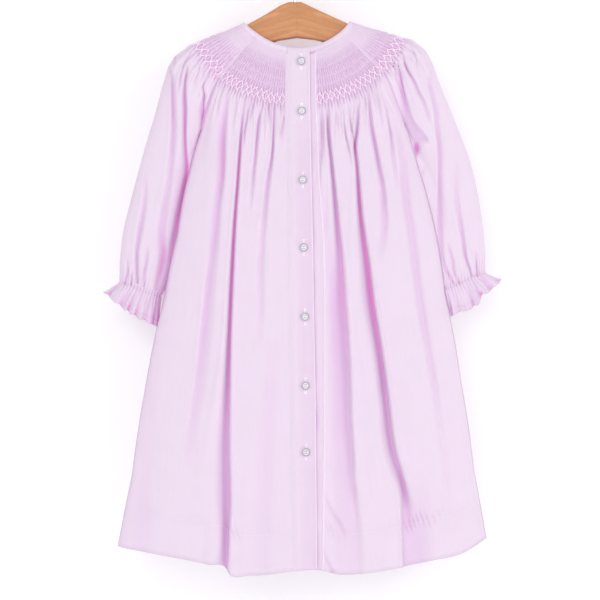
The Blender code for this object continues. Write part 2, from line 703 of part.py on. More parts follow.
def make_bar(material, home, cutters):
    """Flat bar from its outline, edges rounded, with a bored hole for the wire."""
    outline = bar_outline()
    curve = bpy.data.curves.new("hanger_outline", "CURVE")
    curve.dimensions = "2D"
    curve.fill_mode = "BOTH"
    spline = curve.splines.new("POLY")
    spline.points.add(len(outline) - 1)
    for spot, (across, drop) in zip(spline.points, outline):
        spot.co = (across * MM, (TOP_OF_BAR - drop) * MM, 0.0, 1.0)
    spline.use_cyclic_u = True
    curve.extrude = 0.5 * BAR_THICK * MM
    shape = bpy.data.objects.new("hanger_outline", curve)
    home.objects.link(shape)
    shape.rotation_euler = (math.pi / 2.0, 0.0, 0.0)
    bpy.context.view_layer.update()
    graph = bpy.context.evaluated_depsgraph_get()
    mesh = bpy.data.meshes.new_from_object(shape.evaluated_get(graph))
    mesh.transform(shape.matrix_world)
    bpy.data.objects.remove(shape)
    joined = bmesh.new()
    joined.from_mesh(mesh)
    bmesh.ops.remove_doubles(joined, verts=joined.verts, dist=1e-6)
    bmesh.ops.dissolve_limit(joined, angle_limit=0.01, verts=joined.verts, edges=joined.edges)
    bmesh.ops.recalc_face_normals(joined, faces=joined.faces)
    joined.to_mesh(mesh)
    joined.free()
    mesh.materials.clear()
    mesh.materials.append(material)
    bar = bpy.data.objects.new("hanger", mesh)
    home.objects.link(bar)
    rounding = bar.modifiers.new("rounding", "BEVEL")
    rounding.width = BAR_ROUNDING * MM
    rounding.segments = 1
    rounding.limit_method = "ANGLE"
    rounding.angle_limit = math.radians(60.0)
    rounding.use_clamp_overlap = True
    bpy.ops.mesh.primitive_cylinder_add(vertices=16, radius=(WIRE_RADIUS + SEAM) * MM, depth=24.0 * MM,
                                        location=(-2.5 * MM, 0.0, TOP_OF_BAR * MM))
    hole = bpy.context.active_object
    hole.name = "hook_hole"
    hole.hide_render = True
    hole.display_type = "WIRE"
    for user in list(hole.users_collection):
        user.objects.unlink(hole)
    cutters.objects.link(hole)
    bore = bar.modifiers.new("bore", "BOOLEAN")
    bore.operation = "DIFFERENCE"
    bore.solver = "EXACT"
    bore.object = hole
    return bar


def make_hook(material, home):
    """Bent wire: stem, sweep to the side and a round bend whose inside top is the origin."""
    centre = (0.0, -HOOK_RADIUS)
    reach = HOOK_RADIUS + WIRE_RADIUS
    path = [(-2.5, TOP_OF_BAR - 11.0), (-2.5, TOP_OF_BAR + 14.0), (-3.5, TOP_OF_BAR + 20.0), (-7.5, TOP_OF_BAR + 25.5)]
    for degrees in range(232, -31, -15):
        turn = math.radians(degrees)
        path.append((centre[0] + reach * math.cos(turn), centre[1] + reach * math.sin(turn)))
    curve = bpy.data.curves.new("hook", "CURVE")
    curve.dimensions = "3D"
    curve.bevel_depth = WIRE_RADIUS * MM
    curve.bevel_resolution = 2
    curve.use_fill_caps = True
    spline = curve.splines.new("POLY")
    spline.points.add(len(path) - 1)
    for spot, (across, height) in zip(spline.points, path):
        spot.co = (across * MM, 0.0, height * MM, 1.0)
    curve.materials.append(material)
    hook = bpy.data.objects.new("hook", curve)
    home.objects.link(hook)
    return hook


def make_material(name, colour, roughness, metallic=0.0):
    material = bpy.data.materials.new(name)
    material.use_nodes = True
    principled = material.node_tree.nodes["Principled BSDF"]
    principled.inputs["Base Color"].default_value = (colour[0], colour[1], colour[2], 1.0)
    principled.inputs["Roughness"].default_value = roughness
    principled.inputs["Metallic"].default_value = metallic
    material.diffuse_color = (colour[0], colour[1], colour[2], 1.0)
    return material


def build():
    for thing in list(bpy.data.objects):
        bpy.data.objects.remove(thing, do_unlink=True)
    home = bpy.data.collections.new("smocked_dress")
    cutters = bpy.data.collections.new("cutters")
    bpy.context.scene.collection.children.link(home)
    bpy.context.scene.collection.children.link(cutters)
    cutters.hide_render = True

    lilac = (0.85, 0.70, 0.84)
    cotton = {}
    for name in ("front_left", "front_right", "back", "sleeve_left", "sleeve_right",
                 "placket_over", "placket_under", "neck_binding"):
        cotton[name] = make_material(name + "_cotton", lilac, 0.85)
    wood = make_material("hanger_wood", (0.62, 0.36, 0.19), 0.5)
    steel = make_material("hook_steel", (0.75, 0.75, 0.76), 0.25, 1.0)

    make_front_left(cotton["front_left"], home)
    make_front_right(cotton["front_right"], home)
    make_back(cotton["back"], home)
    make_sleeve(-1, cotton["sleeve_left"], home)
    make_sleeve(1, cotton["sleeve_right"], home)
    make_band("placket_over", lambda r: band("left", r), lambda r: band("free", r),
              -0.8, BAND_WALL, cotton["placket_over"], home)
    make_band("placket_under", lambda r: band("free", r) - UNDER_BAND_LAP, lambda r: band("under", r),
              BAND_WALL - 0.8 + SEAM, UNDER_BAND_WALL, cotton["placket_under"], home)
    make_binding(cotton["neck_binding"], home)
    for number, (across, drop) in enumerate(BUTTON_ROWS, start=1):
        pearl = make_material("button_%d_pearl" % number, (0.90, 0.88, 0.90), 0.2)
        make_button(number, across, drop, pearl, home)
    make_bar(wood, home, cutters)
    make_hook(steel, home)


build()
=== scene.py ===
"""Looks of a smocked child's dress with raglan sleeves on a flat wooden hanger.

The cloth is thin shells with their folds, gathers and smocked pleats worked out from short tables.
Sizes inside the form functions are in millimetres, with across to the right of a person looking at
the front, drop down from the flat top of the hanger bar, and the origin in the hook's bend.
"""

import math

import bmesh
import bpy
import numpy as np
from bpy.props import FloatProperty, FloatVectorProperty, IntProperty, PointerProperty
from bpy.types import Operator, Panel, PropertyGroup
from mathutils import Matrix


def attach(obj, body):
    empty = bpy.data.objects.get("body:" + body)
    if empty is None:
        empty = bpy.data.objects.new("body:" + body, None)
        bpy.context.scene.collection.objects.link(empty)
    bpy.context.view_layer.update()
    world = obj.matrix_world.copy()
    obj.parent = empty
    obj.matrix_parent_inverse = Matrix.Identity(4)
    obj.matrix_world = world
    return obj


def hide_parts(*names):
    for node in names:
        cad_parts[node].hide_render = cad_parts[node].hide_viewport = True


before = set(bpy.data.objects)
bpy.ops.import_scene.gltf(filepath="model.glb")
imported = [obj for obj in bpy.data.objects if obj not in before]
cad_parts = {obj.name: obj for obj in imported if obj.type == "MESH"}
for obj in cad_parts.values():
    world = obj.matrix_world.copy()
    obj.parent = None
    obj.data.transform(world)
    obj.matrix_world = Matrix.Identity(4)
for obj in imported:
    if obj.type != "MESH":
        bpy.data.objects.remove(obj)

bl_info = {
    "name": "Smocked dress",
    "version": (1, 0, 0),
    "blender": (4, 5, 0),
    "location": "View3D > Sidebar > Dress",
    "description": "Builds the cloth, smocking, stitching, buttons and hanger of a child's dress",
    "category": "Object",
}

MM = 0.001

TOP_OF_BAR = -62.0
RAY_ACROSS = 1.0
RAY_DROP = -20.0
SEAM = 0.3
NECK_RADIUS = 66.0
YOKE_RADIUS = 73.0
SMOCK_RADIUS = 124.0
UNDERARM_RADIUS = 176.0
HEM_RADIUS = 595.0
BACK_NECK_DROP = 2.0
BINDING_WALL = 1.9
BAND_WALL = 2.0
UNDER_BAND_WALL = 1.5
UNDER_BAND_LAP = 12.0
BAND_RAISED = 0.8
UNDER_BAND_BACK = 1.7
CABLE_RADII = (80.0, 90.0, 100.0, 108.0)
WAVE_ROWS = ((117.4, 1.0), (123.0, -1.0))
WAVE_SWING = 2.6
HEM_FOLD = 40.0
CUFF_STATION = 7
LAST_STATION = 9
STATION_ROWS = 1000.0

# Rows of the body: side edges as angles from straight down, edge depths and middle depths
BODY_NAMES = ("radius", "left", "right", "front_edge", "back_edge", "front", "back")
BODY_ROWS = (
    (66, -38.4, 41.8, -9.0, 9.0, -11.0, 10.5),
    (73, -38.5, 42.0, -9.5, 9.5, -12.5, 11.5),
    (124, -39.3, 43.4, -12.0, 12.0, -18.0, 15.0),
    (137, -38.0, 41.9, -11.0, 11.0, -19.0, 15.5),
    (150, -36.5, 40.0, -9.0, 9.0, -20.0, 16.0),
    (163, -35.0, 38.5, -5.5, 5.0, -21.0, 16.5),
    (176, -33.4, 37.2, -1.15, -0.85, -22.0, 17.0),
    (221, -29.8, 33.0, -7.15, -6.85, -25.0, 18.0),
    (279, -25.7, 29.3, -9.15, -8.85, -28.0, 19.0),
    (347, -22.9, 25.2, -10.15, -9.85, -30.0, 20.0),
    (433, -20.7, 22.2, -11.15, -10.85, -33.0, 21.0),
    (523, -18.6, 19.8, -12.15, -11.85, -35.0, 22.0),
    (595, -17.7, 18.7, -12.15, -11.85, -37.0, 23.0),
)

# Hem lines of the back and the front: across, and how far the radius differs from the plain hem
BACK_HEM_ROWS = ((-190, -2), (-100, -3.5), (-60, -2.5), (60, -1), (120, -2), (165, -6), (190, -8))
HEM_ROWS = ((-180, 0), (-138, -4.4), (-89, -5), (-72, -3.5), (-68, 1), (-47, 1), (-5, -5), (19, -6.5),
            (43, -0.5), (76, 0.7), (101, 0.4), (135, 0), (163, 1), (190, -5))

# Button bands: edges across at each radius
BAND_NAMES = ("radius", "left", "free", "under")
BAND_ROWS = (
    (66, -10.0, 12.4, 17.8),
    (124, -10.0, 13.0, 18.6),
    (202, -9.0, 14.5, 22.0),
    (267, -8.2, 16.0, 26.5),
    (322, -7.4, 16.6, 27.5),
    (415, -6.0, 18.5, 27.4),
    (466, -5.2, 19.0, 27.0),
    (595, -3.5, 20.0, 26.0),
)

# Band pieces: node, columns of their left and right edges with the lap past the left one, how far
# back they lie, their wall, and how much the free edge lifts between the buttons
BAND_PIECES = (
    ("placket_over", "left", 0.0, "free", -BAND_RAISED, BAND_WALL, 0.9),
    ("placket_under", "free", UNDER_BAND_LAP, "under", UNDER_BAND_BACK, UNDER_BAND_WALL, 0.0),
)

# Buttons: across and drop of each middle
BUTTON_ROWS = ((4.3, 60.7), (4.7, 111.0), (5.7, 180.0), (6.8, 247.7), (8.0, 316.8), (8.5, 385.5),
               (9.0, 453.7))

# Outline of a button, from the middle of its underside to the middle of its face: reach, height
BUTTON_PROFILE = ((0.0, 0.3), (4.1, 0.3), (4.5, 0.5), (4.68, 0.9), (4.7, 1.4), (4.6, 1.9), (4.35, 2.25),
                  (4.0, 2.38), (3.65, 2.3), (3.35, 2.0), (3.1, 1.8), (2.6, 1.72), (1.2, 1.72), (0.0, 1.75))
BUTTON_SIDES = 40
HOLE_REACH = 0.85
BUTTONHOLE_HALF = 7.4

# Folds, each a list of points down its deepest line, with the depth there and the reach to both sides
FOLD_NAMES = ("across", "drop", "depth", "left", "right")
FRONT_FOLDS = (
    ((-84, 82, 0.5, 3, 3), (-88, 110, 2.2, 5, 4), (-93, 140, 1.2, 6, 5), (-96, 160, 0, 6, 5)),
    ((-70, 92, 0.5, 3, 2), (-72.5, 130, 6, 12, 2.5), (-74.5, 178, 5.5, 10, 3), (-79, 205, 4.5, 8, 5),
     (-83.5, 245, 4.5, 6, 8), (-88.5, 280, 4, 4, 10), (-95, 336, 4, 3, 14), (-99.5, 378, 3.5, 3, 14),
     (-105, 413, 2.5, 3, 14), (-112, 470, 0, 4, 12)),
    ((-52.5, 98, 0.5, 2, 2), (-55.5, 130, 5, 2.2, 2), (-57, 150, 8, 2.5, 2), (-59.5, 187, 9, 2.6, 2.2),
     (-62, 220, 9.5, 3, 2.4), (-64.5, 268, 10.5, 3.6, 2.6), (-67.5, 345, 11, 5, 2.6),
     (-68.5, 400, 12, 9, 2.8), (-69, 450, 13, 14, 3), (-68, 500, 14, 16, 3), (-69, 525, 13, 11, 3),
     (-71, 600, 14, 17, 3)),
    ((-46.5, 97, 0.5, 1.5, 1.5), (-50.5, 121, 3.5, 1.8, 1.6), (-53, 138, 2.5, 1.8, 1.5),
     (-54, 150, 0, 1.5, 1.5)),
    ((-33, 100, 0.5, 1.6, 1.6), (-37, 115, 3, 2, 1.8), (-39.5, 135, 4.5, 2.5, 2),
     (-41, 153, 4, 2.5, 2), (-43.5, 176, 3, 3, 2.5), (-46, 199, 1.5, 3, 3), (-48, 212, 0, 3, 3)),
    ((-23, 104, 0.5, 1.5, 1.5), (-23.5, 130, 4.5, 1.6, 1.5), (-25, 158, 4.8, 2.2, 2),
     (-28, 176, 4, 3, 3), (-30.5, 199, 3.5, 3.5, 3), (-34, 233, 2.5, 4, 4), (-36, 268, 2, 5, 5),
     (-36, 310, 1.4, 6, 6), (-38, 350, 0, 6, 6)),
    ((-11, 106, 0.5, 1.5, 1.5), (-13, 118, 2.5, 2, 1.6), (-15.5, 131, 1.5, 2, 2), (-17, 140, 0, 2, 2)),
    ((23, 104, 0.5, 2, 2), (25.5, 130, 4, 4, 2), (25, 146, 3.5, 5, 2.5), (22.5, 165, 3, 5, 3),
     (21, 205, 1.5, 4, 4), (20, 260, 0, 4, 4)),
    ((30.5, 104, 0.5, 1.5, 1.5), (31.5, 130, 6, 2.5, 2), (35, 166, 7.5, 3, 2.4),
     (38.5, 200, 8.5, 4.5, 2.6), (41.5, 231, 9, 7, 2.8), (44.5, 260, 9.5, 11, 3),
     (47, 300, 10.5, 19, 3), (49.3, 331, 11, 21, 3), (51.8, 382, 11, 22, 3), (52.5, 418, 10.5, 22, 3),
     (54.5, 446, 9.5, 23, 3), (55, 475, 7.5, 24, 4), (57, 505, 5, 24, 6), (59, 540, 3.5, 22, 9),
     (60, 600, 3, 20, 10)),
    ((46, 103, 0.5, 1.3, 1.3), (48, 130, 2.8, 1.5, 1.3), (52, 150, 2.4, 1.5, 1.5),
     (54.3, 164, 0, 1.5, 1.5)),
    ((62.5, 96, 0.5, 1.5, 1.5), (60.3, 130, 6, 2.5, 2), (58.3, 146, 7.5, 3, 2.2),
     (60, 163, 8.5, 3, 2.2), (62.5, 195, 10, 4.5, 2.5), (64.5, 217, 10.5, 6, 2.5),
     (67.5, 238, 11, 8.5, 2.6), (70.8, 260, 12, 11, 2.8), (75.5, 300, 13, 13, 3),
     (83.5, 351, 13.5, 11, 3), (90, 400, 14, 11, 3.2), (97, 451, 13, 12, 3.4),
     (102.5, 471, 11.5, 11, 3.6), (107, 490, 8.5, 7, 4.5), (109, 512, 3.5, 6, 7),
     (109.5, 535, 0, 6, 8)),
    ((71.5, 92, 0.5, 1.5, 1.5), (76, 130, 6, 4, 2), (80, 151, 6.5, 4.5, 2.2), (83, 168, 6, 5, 2.4),
     (86, 184, 5, 5, 3), (87.5, 206, 4.5, 6, 4), (88, 222, 3.5, 6, 5), (85, 245, 1.5, 7, 7),
     (82, 265, 0, 7, 7)),
    ((98, 116, 0.5, 4, 4), (106, 152, 4.5, 6, 6), (108, 179, 5.5, 7, 7), (110.5, 206, 5.5, 7, 7),
     (114, 228, 5.5, 7, 7), (119.5, 271, 5.5, 7, 6), (126.5, 318, 5.5, 7, 5), (131, 345, 5, 6, 4),
     (139, 392, 4, 6, 4), (142, 420, 2.2, 6, 6), (148, 462, 2, 5, 5), (152, 492, 1.2, 5, 5),
     (154, 512, 0, 5, 5)),
    ((83, 84, 0.5, 1.5, 1.5), (90, 112, 3.5, 1.8, 2), (93.5, 130, 5.5, 1.8, 2.5),
     (95.5, 152, 4, 2.2, 4), (98, 170, 2.5, 3, 5), (101, 190, 0, 3, 5)),
    ((51, 104, 0.5, 1.3, 1.3), (55, 130, 3.2, 1.5, 1.5), (58, 146, 2.2, 1.5, 1.5),
     (59, 156, 0, 1.5, 1.5)),
    ((-41, 97, 0.5, 1.5, 1.5), (-45, 110, 2.6, 1.8, 1.6), (-48.5, 121, 0, 1.8, 1.6)),
    ((103, 455, 0, 3, 14), (104.5, 480, 2.5, 3, 18), (105.5, 505, 6, 2.8, 22),
     (106, 525, 7.5, 2.5, 28), (106.5, 550, 8.5, 2.5, 34), (107, 600, 8.5, 2.5, 36)),
    ((26, 486, 0, 3, 4), (30, 500, 1.8, 3, 5), (38, 515, 2.6, 3, 5), (45, 527, 2.6, 3, 4),
     (49, 538, 0, 3, 4)),
    ((24, 545, 0, 3, 3), (28, 556, 1.8, 3, 4), (35, 568, 2.4, 3, 4), (41, 580, 1, 3, 4),
     (44, 592, 0, 3, 4)),
    ((-28, 102, 0.4, 1.4, 1.4), (-28, 112, 1.8, 1.6, 1.6), (-27, 124, 0, 1.6, 1.6)),
    ((-60, 94, 0.4, 1.4, 1.4), (-61, 106, 1.8, 1.8, 1.6), (-63, 122, 0, 1.8, 1.8)),
    ((38, 104, 0.4, 1.4, 1.4), (39.5, 116, 2.0, 1.6, 1.6), (41, 134, 0, 1.6, 1.6)),
    ((67, 92, 0.4, 1.4, 1.4), (69, 104, 2.2, 1.6, 1.6), (70, 120, 0, 1.6, 1.6)),
    ((78, 88, 0.4, 1.4, 1.4), (82, 102, 2.4, 1.8, 1.6), (86, 122, 1.2, 1.8, 1.8),
     (88, 134, 0, 1.8, 1.8)),
    ((-136, 240, 0, 20, 16), (-146, 360, 1.6, 24, 18), (-152, 450, 2.0, 26, 18),
     (-158, 600, 2.0, 26, 18)),
    ((-22, 330, 0, 14, 14), (-30, 430, 1.3, 16, 16), (-34, 560, 1.0, 18, 16), (-34, 600, 1.0, 18, 16)),
    # The last two folds are broad and shallow, there mostly for the shade painted in them
    ((24, 190, 0, 8, 10), (31, 240, 1.2, 9, 12), (36, 300, 1.7, 11, 14), (39, 380, 1.9, 12, 15),
     (40, 450, 1.9, 12, 15), (42, 520, 1.5, 12, 16), (44, 570, 0.8, 12, 16), (44, 600, 0.5, 12, 16)),
    ((126, 470, 0, 18, 16), (126, 520, 1.3, 20, 18), (126, 580, 1.5, 22, 20), (126, 600, 1.5, 22, 20)),
)

# How much shade is painted into some front folds, by their number from 0; the others count 1
FRONT_FOLD_SHADE = {1: 1.1, 7: 0.7, 8: 0.66, 10: 0.88, 11: 0.9, 12: 0.7, 16: 0.45, 17: 1.2, 18: 1.2, 27: 1.5}

BACK_FOLDS = (
    ((-80, 92, 0.5, 3, 3), (-86, 130, 4, 6, 5), (-95, 190, 4, 6, 6), (-104, 260, 2.5, 7, 7),
     (-112, 330, 0, 7, 7)),
    ((-58, 102, 0.5, 3, 3), (-62, 150, 5.5, 4, 9), (-72, 230, 7.5, 5, 12), (-82, 320, 9.5, 5, 15),
     (-92, 420, 10.5, 6, 16), (-100, 520, 11, 6, 16), (-104, 600, 11, 7, 17)),
    ((-44, 106, 0.5, 2, 2), (-46, 140, 3.5, 3, 3), (-51, 185, 2.5, 4, 4), (-56, 225, 0, 4, 4)),
    ((-27, 110, 0.5, 2, 2), (-29, 160, 5.5, 4, 6), (-33, 240, 7, 4, 9), (-38, 330, 7, 5, 10),
     (-42, 430, 5.5, 6, 12), (-45, 520, 3.5, 8, 12), (-46, 600, 2.5, 8, 12)),
    ((-10, 112, 0.5, 2, 2), (-11, 145, 3, 3, 3), (-13, 190, 0, 3, 3)),
    ((4, 112, 0.5, 2, 2), (6, 165, 5.5, 7, 4), (9, 250, 7.5, 10, 4), (13, 350, 9.5, 12, 5),
     (18, 450, 10.5, 14, 5), (22, 540, 11, 15, 5), (23, 600, 11, 16, 6)),
    ((22, 111, 0.5, 2, 2), (25, 150, 3.5, 3, 3), (30, 205, 2.5, 4, 4), (33, 250, 0, 4, 4)),
    ((40, 107, 0.5, 2, 2), (44, 155, 5, 5, 4), (52, 235, 5.5, 7, 5), (60, 330, 5, 9, 6),
     (67, 420, 3, 10, 8), (72, 500, 0, 10, 8)),
    ((57, 102, 0.5, 3, 3), (65, 150, 5.5, 8, 4), (78, 230, 8, 11, 5), (92, 320, 10, 14, 5),
     (104, 420, 11, 15, 6), (113, 520, 11, 16, 6), (117, 600, 11, 17, 7)),
    ((76, 94, 0.5, 3, 3), (85, 135, 4, 5, 5), (98, 200, 3.5, 6, 6), (110, 270, 0, 6, 6)),
    ((-36, 108, 0.4, 1.5, 1.5), (-37, 124, 2.2, 1.8, 1.8), (-39, 158, 0, 2, 2)),
    ((13, 113, 0.4, 1.5, 1.5), (14, 128, 2.2, 1.8, 1.8), (16, 166, 0, 2, 2)),
    ((31, 110, 0.4, 1.5, 1.5), (33, 124, 2.0, 1.8, 1.8), (36, 150, 0, 2, 2)),
    ((-70, 98, 0.4, 1.5, 1.5), (-73, 116, 2.2, 1.8, 1.8), (-77, 150, 0, 2, 2)),
    ((-124, 300, 0, 20, 20), (-138, 400, 1.8, 22, 20), (-150, 600, 2.0, 24, 20)),
    ((126, 280, 0, 20, 20), (142, 400, 1.6, 20, 20), (158, 600, 2.0, 20, 22)),
)

# Columns that run down the long folds: column, number of the fold, and points that it runs on through
LEFT_GUIDES = ((9, 1, ((-119, 540), (-124, 600))), (17, 2, ()), (33, 5, ((-33, 450), (-26, 600))))
RIGHT_GUIDES = ((6, 8, ()), (22, 10, ((112, 600),)), (28, 11, ((101, 345), (118, 460), (131, 600))),
                (36, 12, ((163, 600),)))
BACK_GUIDES = ((10, 1, ()), (20, 3, ()), (30, 5, ()), (41, 7, ((76, 600),)), (46, 8, ()))
FRONT_COLUMNS = 40
BACK_COLUMNS = 60

# Outer edge of the sleeve heads: radius, across, drop
LEFT_YOKE_OUTER = ((66, -53.0, 20.6), (73, -58.5, 23.4), (105, -86, 35.5), (124, -103.0, 43.8),
                   (137, -112.5, 49.0), (150, -122.0, 55.5), (163, -129.5, 66.0), (176, -136.0, 86.0))
RIGHT_YOKE_OUTER = ((66, 53.0, 19.0), (73, 58.0, 21.4), (105, 90, 32), (124, 107.0, 38.0),
                    (137, 120.5, 43.5), (150, 129.0, 51.0), (163, 136.5, 63.0), (176, 144.0, 83.0))

# Sleeve stations below the yoke: inner point, outer point, half depth, middle depth
SLEEVE_NAMES = ("in_across", "in_drop", "out_across", "out_drop", "half", "middle")
LEFT_STATIONS = (
    (-101, 150, -143, 112, 15, 1.5),
    (-106, 172, -151, 138, 15, 3.5),
    (-112, 205, -160, 170, 15, 5.5),
    (-118, 235, -169.5, 205, 15, 6.5),
    (-124, 262, -176, 233, 14, 7.0),
    (-129, 281, -179, 260, 12.5, 7.0),
    (-136, 296, -179.5, 281, 11, 6.0),
    (-138, 309, -186, 287, 12.5, 6.0),
    (-140.5, 327, -193, 293, 15, 6.0),
)
RIGHT_STATIONS = (
    (114, 142, 154, 107, 15, 1.5),
    (121, 165, 165, 134, 15, 3.5),
    (128, 196, 176, 164, 15, 5.5),
    (134, 222, 183.5, 198, 15, 6.5),
    (140, 249, 188, 228, 14, 7.0),
    (144, 270, 190, 252, 12.5, 7.0),
    (148, 288, 190, 271, 11, 6.0),
    (150.5, 300, 197, 276, 12.5, 6.0),
    (154, 317, 205.5, 280, 15, 6.0),
)

# Folds of the sleeves' fronts and backs, in the same columns as the body's folds
LEFT_SLEEVE_FOLDS = (
    ((-128, 62, 0.5, 1.5, 3), (-125.6, 85, 4, 1.8, 4), (-125, 101, 4.5, 2, 4.5),
     (-124.6, 132, 4, 3, 4.5), (-126.6, 162, 3.5, 4, 4.5), (-129, 183, 3.2, 4, 5),
     (-132, 200, 3.4, 5, 6), (-136, 230, 4.5, 6, 7), (-135, 255, 5, 6, 7), (-139, 276, 4, 5, 6),
     (-142, 290, 2, 4, 5)),
    ((-153, 170, 0, 3, 3), (-153.5, 200, 2.5, 3, 4), (-158, 230, 3.5, 4, 4), (-161.1, 253, 4, 3, 2.5),
     (-161, 266, 4, 3, 2.2), (-160.5, 283, 3.5, 2.5, 2)),
    ((-105.2, 50, 0.5, 2, 2), (-113.3, 64.5, 3, 2, 2.2), (-116.4, 75, 2.8, 2, 2.4),
     (-118.4, 86, 1.5, 2, 2.5), (-119, 96, 0, 2, 2)),
    ((-109.5, 64, 0.3, 1.5, 1.2), (-111, 76, 5, 2.5, 1.6), (-112, 91, 6.5, 4.5, 2),
     (-111.6, 111, 7.5, 5, 2.2), (-112.2, 132, 8, 4, 2.2), (-111.7, 152, 8, 5, 2.4),
     (-110.3, 170, 8, 6, 2.6), (-113, 190, 6, 7, 3), (-119, 216, 4, 6, 3), (-126, 250, 1.5, 5, 3),
     (-130, 270, 0, 5, 3)),
    ((-88.3, 76, 0.3, 2, 1.5), (-93.5, 85, 5, 2, 1.6), (-92.8, 97, 7, 3.5, 2), (-93.5, 109, 9, 6, 2),
     (-95, 118, 8, 4, 2), (-96.5, 128, 4, 2, 1.5), (-97.5, 136, 0, 1.5, 1.5)),
    ((-97, 66, 0.3, 1.5, 1.5), (-99.5, 73, 2.5, 2, 2), (-102, 79, 2, 2, 2), (-103.5, 86, 0, 2, 2)),
    ((-92, 70, 0.3, 1.5, 1.5), (-94, 75, 1.8, 1.5, 1.5), (-96, 82, 0, 1.5, 1.5)),
    ((-171.8, 256, 0, 2, 2), (-170.3, 271, 2.8, 2.2, 2), (-172, 280, 2.5, 2, 1.8),
     (-173, 285, 1.5, 2, 2)),
    ((-152, 243, 0, 2.5, 2.5), (-151.1, 258, 2.6, 2.8, 2.5), (-153.4, 272, 2.8, 2.5, 2.2),
     (-154.2, 286, 2.5, 2.5, 2)),
    ((-166.5, 268, 0, 1.6, 1.6), (-166.5, 278, 2.2, 1.6, 1.6), (-166.5, 285, 2, 1.6, 1.6)),
    ((-118, 48, 0.3, 1.4, 1.4), (-122, 58, 1.8, 1.8, 1.8), (-124.5, 70, 0, 1.8, 1.8)),
)
RIGHT_SLEEVE_FOLDS = (
    ((103.5, 48, 0.4, 1.5, 1.5), (107, 58, 4, 2, 1.6), (111, 70, 5, 2.5, 1.8),
     (116.7, 79, 3.5, 3, 2.5), (121.8, 91, 3.2, 3.5, 2.8), (126.9, 101, 3, 3.5, 3),
     (131, 113.5, 2.2, 3.5, 3), (134, 124, 0, 3.5, 3)),
    ((101, 60, 0.4, 3, 1.2), (104.6, 75, 5.5, 9, 1.3), (107.6, 89, 6.5, 12, 1.5),
     (109.4, 97, 6.2, 12, 1.6), (112.3, 111, 5, 14, 1.8), (116, 120, 4, 18, 2),
     (121.5, 128, 3.6, 24, 2.4), (127, 134, 3.4, 30, 2.6), (130, 139, 3.2, 32, 2.4),
     (129, 142, 0, 32, 2.4)),
    ((120, 140, 0, 5, 5), (120.5, 145, 6, 6, 5), (120.5, 149, 6.5, 5.5, 4.5), (119.5, 154, 5, 4, 3),
     (119, 159, 2, 3, 2), (118.5, 163, 0, 2, 2)),
    ((129, 164, 0, 2, 2), (126.9, 171, 2, 2, 2), (124.5, 181, 2, 1.8, 1.8), (124, 188, 0, 1.8, 1.8)),
    ((136, 68, 0.3, 2, 2), (132.5, 83, 2.5, 2, 4), (134, 91, 2.8, 2, 5), (138.3, 109, 3, 1.8, 5.5),
     (140, 127, 3.2, 1.8, 5.5), (142, 142, 3.8, 2, 5), (142.8, 183, 4.6, 2.2, 4.5),
     (143.5, 230, 5, 4, 5), (144, 249, 4.5, 4, 4.5), (147, 263, 4, 3.5, 3.5), (151.5, 273, 3.6, 3, 3),
     (156, 280.5, 3, 2.5, 2.5), (160, 286, 1.5, 2, 2)),
    ((160.6, 160, 0, 4, 4), (161, 200, 2.2, 4, 4), (165.8, 230, 3.4, 3.5, 3), (168, 245, 3.6, 3, 2.6),
     (170.4, 259, 4, 2.6, 2.2), (173.5, 268, 3.6, 2.2, 2), (176, 276, 2.5, 2, 2)),
    ((151.5, 240, 0, 2, 2), (153, 248, 2, 2.2, 2), (156.7, 261, 2.8, 2.4, 2.2),
     (157.8, 270, 2.8, 2.4, 2), (161, 279, 2.4, 2, 2), (164, 285, 1, 2, 2)),
    ((180, 248, 0, 1.8, 1.8), (180.4, 259, 1.8, 2, 2), (181.5, 271, 2.6, 2, 2), (182, 276, 2, 2, 2)),
    ((113, 44, 0.3, 1.4, 1.4), (118, 55, 2.0, 1.8, 1.8), (121, 68, 0, 1.8, 1.8)),
    ((96, 58, 0.3, 1.4, 1.4), (98, 68, 2.2, 1.6, 1.6), (99, 82, 0, 1.6, 1.6)),
)
# How much shade is painted into some sleeve folds, by their number from 0; the others count 1
LEFT_SLEEVE_FOLD_SHADE = {4: 1.3}
RIGHT_SLEEVE_FOLD_SHADE = {1: 1.1, 2: 1.9, 3: 1.5}
LEFT_SLEEVE_BACK_FOLDS = (
    ((-106, 68, 0.5, 2, 2), (-116, 110, 4, 4, 5), (-124, 160, 4, 4, 6), (-134, 215, 2.5, 5, 7),
     (-140, 255, 0, 5, 6)),
    ((-140, 170, 0, 4, 4), (-150, 220, 3, 4, 4), (-158, 270, 2.6, 3, 3), (-160, 290, 1.6, 2.5, 2.5)),
    ((-166, 240, 0, 2.5, 2.5), (-168, 265, 2, 2.5, 2.5), (-169, 284, 1.4, 2, 2)),
    ((-121, 54, 0.4, 2, 2), (-126, 84, 2.2, 3, 3), (-129, 120, 0, 3, 3)),
    ((-146, 250, 0, 2, 2), (-147, 270, 2.2, 2.2, 2.2), (-148, 290, 1.8, 2, 2)),
)
RIGHT_SLEEVE_BACK_FOLDS = (
    ((110, 66, 0.5, 2, 2), (121, 110, 4, 5, 4), (130, 160, 4, 6, 4), (140, 215, 3, 7, 5),
     (147, 260, 0, 6, 5)),
    ((148, 160, 0, 4, 4), (160, 215, 3, 4, 4), (169, 262, 2.6, 3, 3), (172, 280, 1.6, 2.5, 2.5)),
    ((178, 236, 0, 2.5, 2.5), (180, 258, 2, 2.5, 2.5), (181, 272, 1.2, 2, 2)),
    ((124, 50, 0.4, 2, 2), (131, 82, 2.2, 3, 3), (135, 120, 0, 3, 3)),
    ((156, 244, 0, 2, 2), (159, 264, 2.2, 2.2, 2.2), (163, 284, 1.6, 2, 2)),
)

